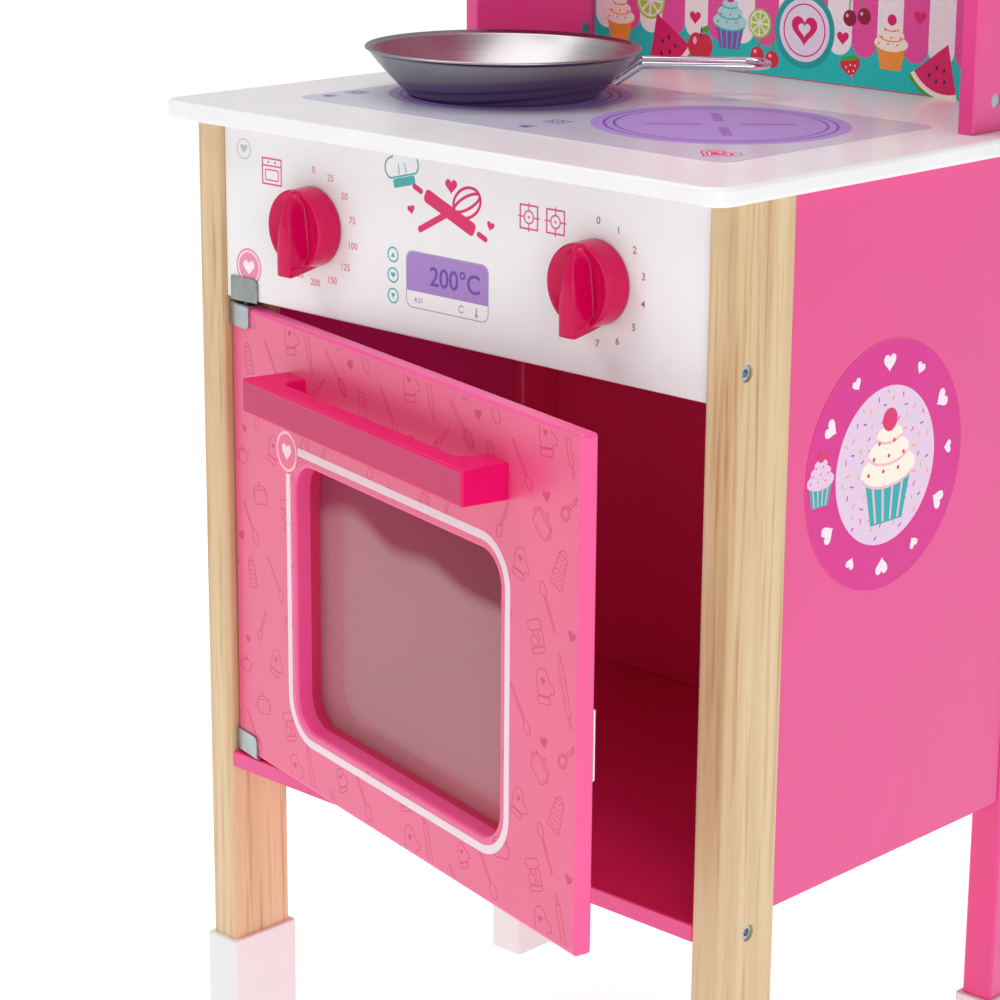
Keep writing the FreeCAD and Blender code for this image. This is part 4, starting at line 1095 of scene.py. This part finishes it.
def crossed_tools(x, y):
    """A rolling pin and a whisk that cross, with three hearts round them, in thick playful strokes."""
    barrel_and_grips = ((-18, 18, -3.4, 3.4, 2.2, 5), (-27, -19.5, -1.4, 1.4, 1.3, 4),
                        (19.5, 27, -1.4, 1.4, 1.3, 4))
    pin = [fill("magenta", round_box(*box)) for box in barrel_and_grips]
    loops = [line("magenta", arc(13, 0, 9.5, 0, 360, squash, 30)[:-1], 1.5, True) for squash in (0.72, 0.3)]
    beater = [fill("magenta", round_box(-24, 3, -1.6, 1.6, 1.4, 4), 2)] + loops
    marks = placed(pin, x, y, -22) + placed(beater, x, y, 28)
    for size, dx, dy, turn in ((8, 1, 12.5, 0), (5, -26, -2, 15), (5, 27, -3, -15)):
        marks += placed([fill("magenta", heart(0, 0, size))], x + dx, y + dy, turn)
    return marks


def arrow(x, y, size, up):
    """A small solid triangle that points up or down."""
    return fill("teal", np.array([(-0.9, -0.6 * up), (0.9, -0.6 * up), (0, 1.0 * up)]) * size + (x, y))


panel_numbers = dial(("0", "25", "50", "75", "100", "125", "150", "200", "250"), OVEN_DIAL, "light_pink")
panel_numbers += dial(("0", "1", "2", "3", "4", "5", "6", "7", "8"), HOB_DIAL, "plum")
panel_numbers += [("violet", "200\u00b0C", 3.5, TOP - 69.2, 9.6, NUMBER_LAYER),
                  ("lcd_grey", "4:21", -21, TOP - 82.5, 2.6, NUMBER_LAYER)]
BADGE_X, BUTTON_X = -144.6, -38.7
panel_marks = ring_heart(-147, TOP - 23.7, 5, "soft_grey", 0.6)
panel_marks += oven_sign(-133, -119, TOP - 39.3, TOP - 26.4)
panel_marks += [fill("badge_pink", disc(BADGE_X, TOP - 84, 9.6)),
                line("white", disc(BADGE_X, TOP - 84, 8), 0.8, True, 2),
                fill("white", heart(BADGE_X, TOP - 84.5, 8.5), 2)]
panel_marks += chef_hat(-32, TOP - 21, 23, "teal") + crossed_tools(0, TOP - 37)
for y, up in ((-62.6, 1), (-72.7, 0), (-82.9, -1)):
    panel_marks.append(line("teal", disc(BUTTON_X, TOP + y, 3.5), 0.8, True))
    if up:
        panel_marks.append(arrow(BUTTON_X, TOP + y - 0.05 - 0.25 * up, 1.6, up))
    else:
        panel_marks.append(fill("teal", heart(BUTTON_X, TOP + y, 3.2)))
# The display's upper part is tinted up to its outline: square corners below, round ones above.
display = np.vstack([arc(21.6, TOP - 63.2, 3.9, 0, 90, 1, 7), arc(-25.2, TOP - 63.2, 3.9, 90, 180, 1, 7),
                     [(-29.1, TOP - 78.4), (25.5, TOP - 78.4)]])
panel_marks += [line("lcd_grey", round_box(-29.4, 25.8, TOP - 86.5, TOP - 59, 4), 0.5, True),
                fill("lcd_purple", display),
                line("lcd_grey", arc(8, TOP - 82.5, 1.7, 30, 330, 1, 14), 0.6),
                line("lcd_grey", [(18, TOP - 80.4), (18, TOP - 84.4)], 0.9),
                fill("lcd_grey", disc(18, TOP - 84.2, 1, 1, 10))]
panel_marks += burner_sign(51.7, TOP - 32.3, 11) + burner_sign(68.5, TOP - 32.3, 11)
print_art("panel_print", PANEL, panel_marks,
          {"soft_grey": "#BDBEC4", "pink": "#DC4E86", "badge_pink": "#EE8CB2", "white": "#F4EDEF",
           "light_pink": "#E0819F", "plum": "#9A6C7C", "teal": "#3FACAE", "magenta": "#DB1668",
           "lcd_grey": "#A3A1B6", "lcd_purple": "#A681C9", "violet": "#6B3FA4"},
          panel_numbers)

# %% [markdown]
# ## Hob print
#
# The hob is one lilac-grey film on the worktop. Two violet burners are printed on it, each with a double
# ring and a cross, and small signs show which knob heats which burner. Rings are closed lines along
# circles.


# %% Hob artwork
def burner(x, y, radius):
    """A violet disc, two rings near its edge, and four bars that leave the middle free."""
    bar = round_box(9.6, 36.6, -2.5, 2.5, 1.2, 4)
    marks = [fill("violet_pale", disc(0, 0, radius, 1, 96))]
    marks += [line("violet_deep", disc(0, 0, ring, 1, 96), 1.4, True, 2) for ring in (56.8, 51.9)]
    for turn in (45, 135, 225, 315):
        marks += placed([fill("violet_mid", bar, 2)], 0, 0, turn)
    return placed(marks, x, y)


def pot_sign(x, y, size):
    """A small pot with its lid, and three curls of steam."""
    k = size / 9
    curl = np.array([(0, 4.4), (0.8, 5.6), (0, 6.8), (0.8, 8)])
    steam = [line("violet_deep", curl + (across, 0), 0.6 * k) for across in (-3, -0.4, 2.2)]
    pot = [fill("violet_deep", round_box(-4, 4, -3.4, 2, 1, 4)),
           fill("violet_deep", round_box(-5.6, 5.6, 2.3, 3.3, 0.4, 3))]
    return placed(sized(pot + steam, k), x, y)


hob_marks = burner(65.7, 143.9, 63.4) + burner(-75.7, 143.9, 63.0)
hob_marks += pot_sign(6.5, 68.5, 7) + burner_sign(6.5, 91, 10)
hob_marks += pot_sign(-133, 69, 6) + burner_sign(-132.5, 89, 8.5)
hob_marks = [mark._replace(ink="violet_deep") if mark.ink == "pink" else mark for mark in hob_marks]
hob_marks += [fill("magenta", heart(123, 72, 15)), line("white", heart(123, 72, 10.5), 0.8, True, 2),
              line("magenta", heart(123, 72, 21), 0.9, True)]
print_art("hob_print", HOB, hob_marks,
          {"violet_pale": "#A98FD3", "violet_deep": "#7547AC", "violet_mid": "#9365BE", "magenta": "#DB1668",
           "white": "#F4EDEF"})

# %% [markdown]
# ## Backsplash print
#
# The backsplash is printed like a sweet-shop awning: pink and white stripes with round ends hang over a
# turquoise ground, and cupcakes, fruit and hearts lie on them. Each treat is a small function in its own
# millimetres, so it can be set down many times, larger, smaller or turned. Only its lowest rows can be
# checked against the real thing, and the rows above continue it.


# %% Treats
def half_round(x0, x1, low, high, count=11):
    """A stripe with a half-round lower end."""
    radius = (x1 - x0) / 2
    return np.vstack([[(x0, high)], arc(x0 + radius, low + radius, radius, 180, 360, 1, count), [(x1, high)]])


def cupcake(width, icing, shade, cup, topping):
    """A fluted cup under three swirls of icing, with sprinkles and a berry."""
    k = width / 20
    marks = [fill(cup, [(-5.6, -11), (5.6, -11), (8, -1), (-8, -1)], 3)]
    marks += [line(shade, [(x, -10.6), (x * 1.4, -1.2)], 0.7 * k, layer=4) for x in (-3.9, -1.3, 1.3, 3.9)]
    for y, radius in ((1, 9.6), (5, 7.2), (8.6, 4.6)):
        marks += [fill(icing, disc(0, y, radius, 0.42, 26), 4),
                  line(shade, arc(0, y, radius, 195, 335, 0.42, 14), 0.6 * k, layer=5)]
    marks.append(fill(topping, disc(0, 11.8, 2.6, 1, 16), 5))
    for step in range(9):
        x, y = -7 + 1.75 * step, 0.6 + 3.2 * (step % 3)
        if abs(x) < 8.4 - 0.7 * y:
            marks.append(fill(topping, disc(x, y, 0.5, 1, 6), 5))
    return sized(marks, k)


def citrus(radius, rind, flesh):
    """A slice: rind, pith, and eight segments."""
    marks = [fill(rind, disc(0, 0, 1, 1, 28), 3), fill("white", disc(0, 0, 0.86, 1, 28), 4)]
    segment = fill(flesh, np.vstack([[(0.12, 0)], arc(0, 0, 0.76, -17, 17, 1, 6)]), 5)
    for turn in range(0, 360, 45):
        marks += placed([segment], 0, 0, turn + 20)
    return sized(marks, radius)


def melon_wedge(size):
    """A wedge of watermelon, its point up: green skin, pale rind, flesh and seeds."""
    marks = []
    for ink, k, layer in (("leaf", 1.0, 3), ("cream", 0.93, 4), ("magenta", 0.84, 5)):
        wedge = np.vstack([[(0, 0.5 * (1.4 - 0.4 * k))], arc(0, 0.5, k, 235, 305, 1, 12)])
        marks.append(fill(ink, wedge, layer))
    seeds = [(-0.16, -0.12), (0.02, -0.16), (0.18, -0.1), (-0.06, 0.06), (0.1, 0.08)]
    return sized(marks + [fill("plum_dark", disc(x, y, 0.026, 1.8, 8), 6) for x, y in seeds], size)


def apple(radius):
    """Two round cheeks, a leaf, a stalk and a shine."""
    cheeks = [fill("red", disc(x, 0, 0.72, 1.16, 22), 4) for x in (-0.34, 0.34)]
    leaf = placed([fill("leaf", disc(0, 0, 0.42, 0.45, 14), 5)], 0.42, 1.1, 30)
    stalk = line("plum_dark", [(0, 0.6), (0.12, 1.25)], 0.8, layer=5)
    return sized(cheeks + leaf + [stalk, fill("blush", disc(-0.45, 0.3, 0.16, 1.6, 10), 5)], radius)


def cherries(radius, ink):
    """Two cherries on one forked stem."""
    marks = []
    for x in (-1.1, 1.1):
        stem = [(x, 0.6), (0.75 * x, 1.9), (0.3, 3.2)]
        marks += [fill(ink, disc(x, 0, 1, 1, 18), 4), line("leaf", stem, 0.8, layer=3),
                  fill("blush", disc(x - 0.35, 0.35, 0.22, 1, 8), 5)]
    return sized(marks, radius)


def strawberry(height):
    """A heart-shaped berry with seeds under a leafy collar."""
    marks = [fill("red", heart(0, 0, 0.9), 4)]
    marks += [fill("leaf", disc(x, 0.34, 0.15, 0.6, 10), 5) for x in (-0.22, 0, 0.22)]
    seeds = [(-0.2, 0.05), (0, 0.1), (0.2, 0.05), (-0.1, -0.12), (0.1, -0.12), (0, -0.28)]
    return sized(marks + [fill("cream", disc(x, y, 0.03, 1.5, 6), 5) for x, y in seeds], height)


def medallion(radius):
    """A turquoise ring round a pale disc, with a ringed heart in it."""
    return sized([fill("deep_teal", disc(0, 0, 1, 1, 40), 3), fill("lilac_white", disc(0, 0, 0.83, 1, 40), 4),
                  fill("magenta", heart(0, -0.02, 0.86), 5),
                  line("magenta", disc(0, 0, 0.68, 1, 36), 0.8, True, 5),
                  fill("lilac_white", heart(0, 0, 0.4), 6)], radius)


# %% Backsplash artwork
back_half = (back_high.x - back_low.x) / 2 / MM
back_height = (back_high.z - top_high.z) / MM - 1
STRIPE = 16.65
sweets = [fill("turquoise", round_box(-back_half + 0.5, back_half - 0.5, 0.6, back_height, 1, 3))]
for index in range(19):
    start = -159.2 + STRIPE * index
    stripe = half_round(start, min(start + STRIPE, back_half - 0.5), 16, back_height)
    sweets.append(fill("stripe_pink" if index % 2 else "white", stripe, 2))

pink_cake = cupcake(23, "cream", "orange", "orange", "magenta")
mint_cake = cupcake(25, "mint", "turquoise", "purple", "magenta")
row = [(pink_cake, -141, 22, 0), (melon_wedge(33), -106, 11, 24), (citrus(10.5, "lime", "lime"), -118, 34, 0),
       (apple(8.5), -81, 12, 0), (mint_cake, -60, 26, 0), (cherries(4.8, "red"), -35, 10, -8),
       (citrus(8, "lime", "lime"), -39, 28, 0), (medallion(20.5), -8, 27, 0), (strawberry(15), 24, 10, 12),
       (cherries(4.4, "dark_cherry"), 27, 37, 10), (pink_cake, 50, 24, 0), (melon_wedge(30), 81, 13, -20),
       (apple(8), 105, 12, 8), (mint_cake, 124, 28, 0), (citrus(9, "orange", "orange"), 147, 14, 0)]
hearts = [(-118, 50), (-85, 27), (18, 25), (-101, 43), (68, 40), (146, 36), (101, 33)]
ROWS, ROW_STEP = 4, 68  # rows up the backsplash, every other one mirrored
for level in range(ROWS):
    mirror = 1 if level % 2 == 0 else -1
    for treat, x, y, turn in row:
        sweets += placed(treat, x * mirror, y + ROW_STEP * level, turn * mirror)
    for x, y in hearts:
        sweets.append(fill("magenta", heart(x * mirror, y + ROW_STEP * level, 8), 3))
print_art("backsplash_print", BACK, sweets,
          {"turquoise": "#0FC3BD", "stripe_pink": "#E84FA0", "white": "#F4EDEF", "cream": "#FBEFE0",
           "orange": "#F49A3A", "mint": "#A9E3E0", "purple": "#8A4FB0", "lime": "#A9CF48", "leaf": "#4FA446",
           "magenta": "#DB1668", "red": "#D42A42", "dark_cherry": "#8E1436", "deep_teal": "#14A3A3",
           "lilac_white": "#E9E0F3", "plum_dark": "#4A1030", "blush": "#F2B9CC"})
print(len(sweets), "marks on the backsplash")

# %% [markdown]
# ## Side sticker
#
# A round vinyl sticker decorates the side: a magenta band with hearts round a pale middle that is dusted
# with sprinkles, one big cupcake in the middle and a small one on the band.

# %% Sticker artwork
SIDE_AT = ((sticker_low.y + sticker_high.y) / 2 / MM, (sticker_low.z + sticker_high.z) / 2 / MM)
RING_OUT = (sticker_high.y - sticker_low.y) / 2 / MM - 0.4
RING_IN = 38.5
badge = [fill("sticker_magenta", disc(0, 0, RING_OUT, 1, 96)),
         fill("lilac_white", disc(0, 0, RING_IN, 1, 72), 2)]
for index in range(12):
    turn = 30 * index
    angle = math.radians(turn)
    middle = (RING_OUT + RING_IN) / 2
    if turn != 180:
        badge += placed([fill("white", heart(0, 0, 9.5 if index % 2 else 6.5), 2)], middle * math.cos(angle),
                        middle * math.sin(angle), turn - 90)
sprinkle_inks = ("sticker_magenta", "mint", "orange", "lime", "purple")
SPRINKLES, GOLDEN_ANGLE = 110, 137.5
for index in range(SPRINKLES):
    # Steps of the golden angle spread the sprinkles evenly without any pattern that shows.
    angle = math.radians(GOLDEN_ANGLE * index)
    reach = RING_IN * 0.94 * math.sqrt((index + 0.5) / SPRINKLES)
    badge += placed([fill(sprinkle_inks[index % 5], round_box(-1.3, 1.3, -0.4, 0.4, 0.35, 3), 3)],
                    reach * math.cos(angle), reach * math.sin(angle), 73.0 * index)
cakes = placed(cupcake(44, "cream", "blush", "turquoise", "magenta"), 2, -4)
cakes += placed(cupcake(21, "lilac_white", "blush", "turquoise", "magenta"), -50, 1)
badge += [mark._replace(layer=mark.layer + 2) for mark in cakes]
print_art("sticker_print", SIDE, placed(badge, *SIDE_AT),
          {"sticker_magenta": "#D8168C", "lilac_white": "#E6C8E4", "white": "#F4E6F0", "mint": "#A9E3E0",
           "orange": "#F49A3A", "lime": "#A9CF48", "purple": "#8A4FB0", "cream": "#FBEFE0",
           "blush": "#F2B9CC",
           "turquoise": "#0AA9B0", "magenta": "#DB1668"})
print(len(badge), "marks on the sticker")
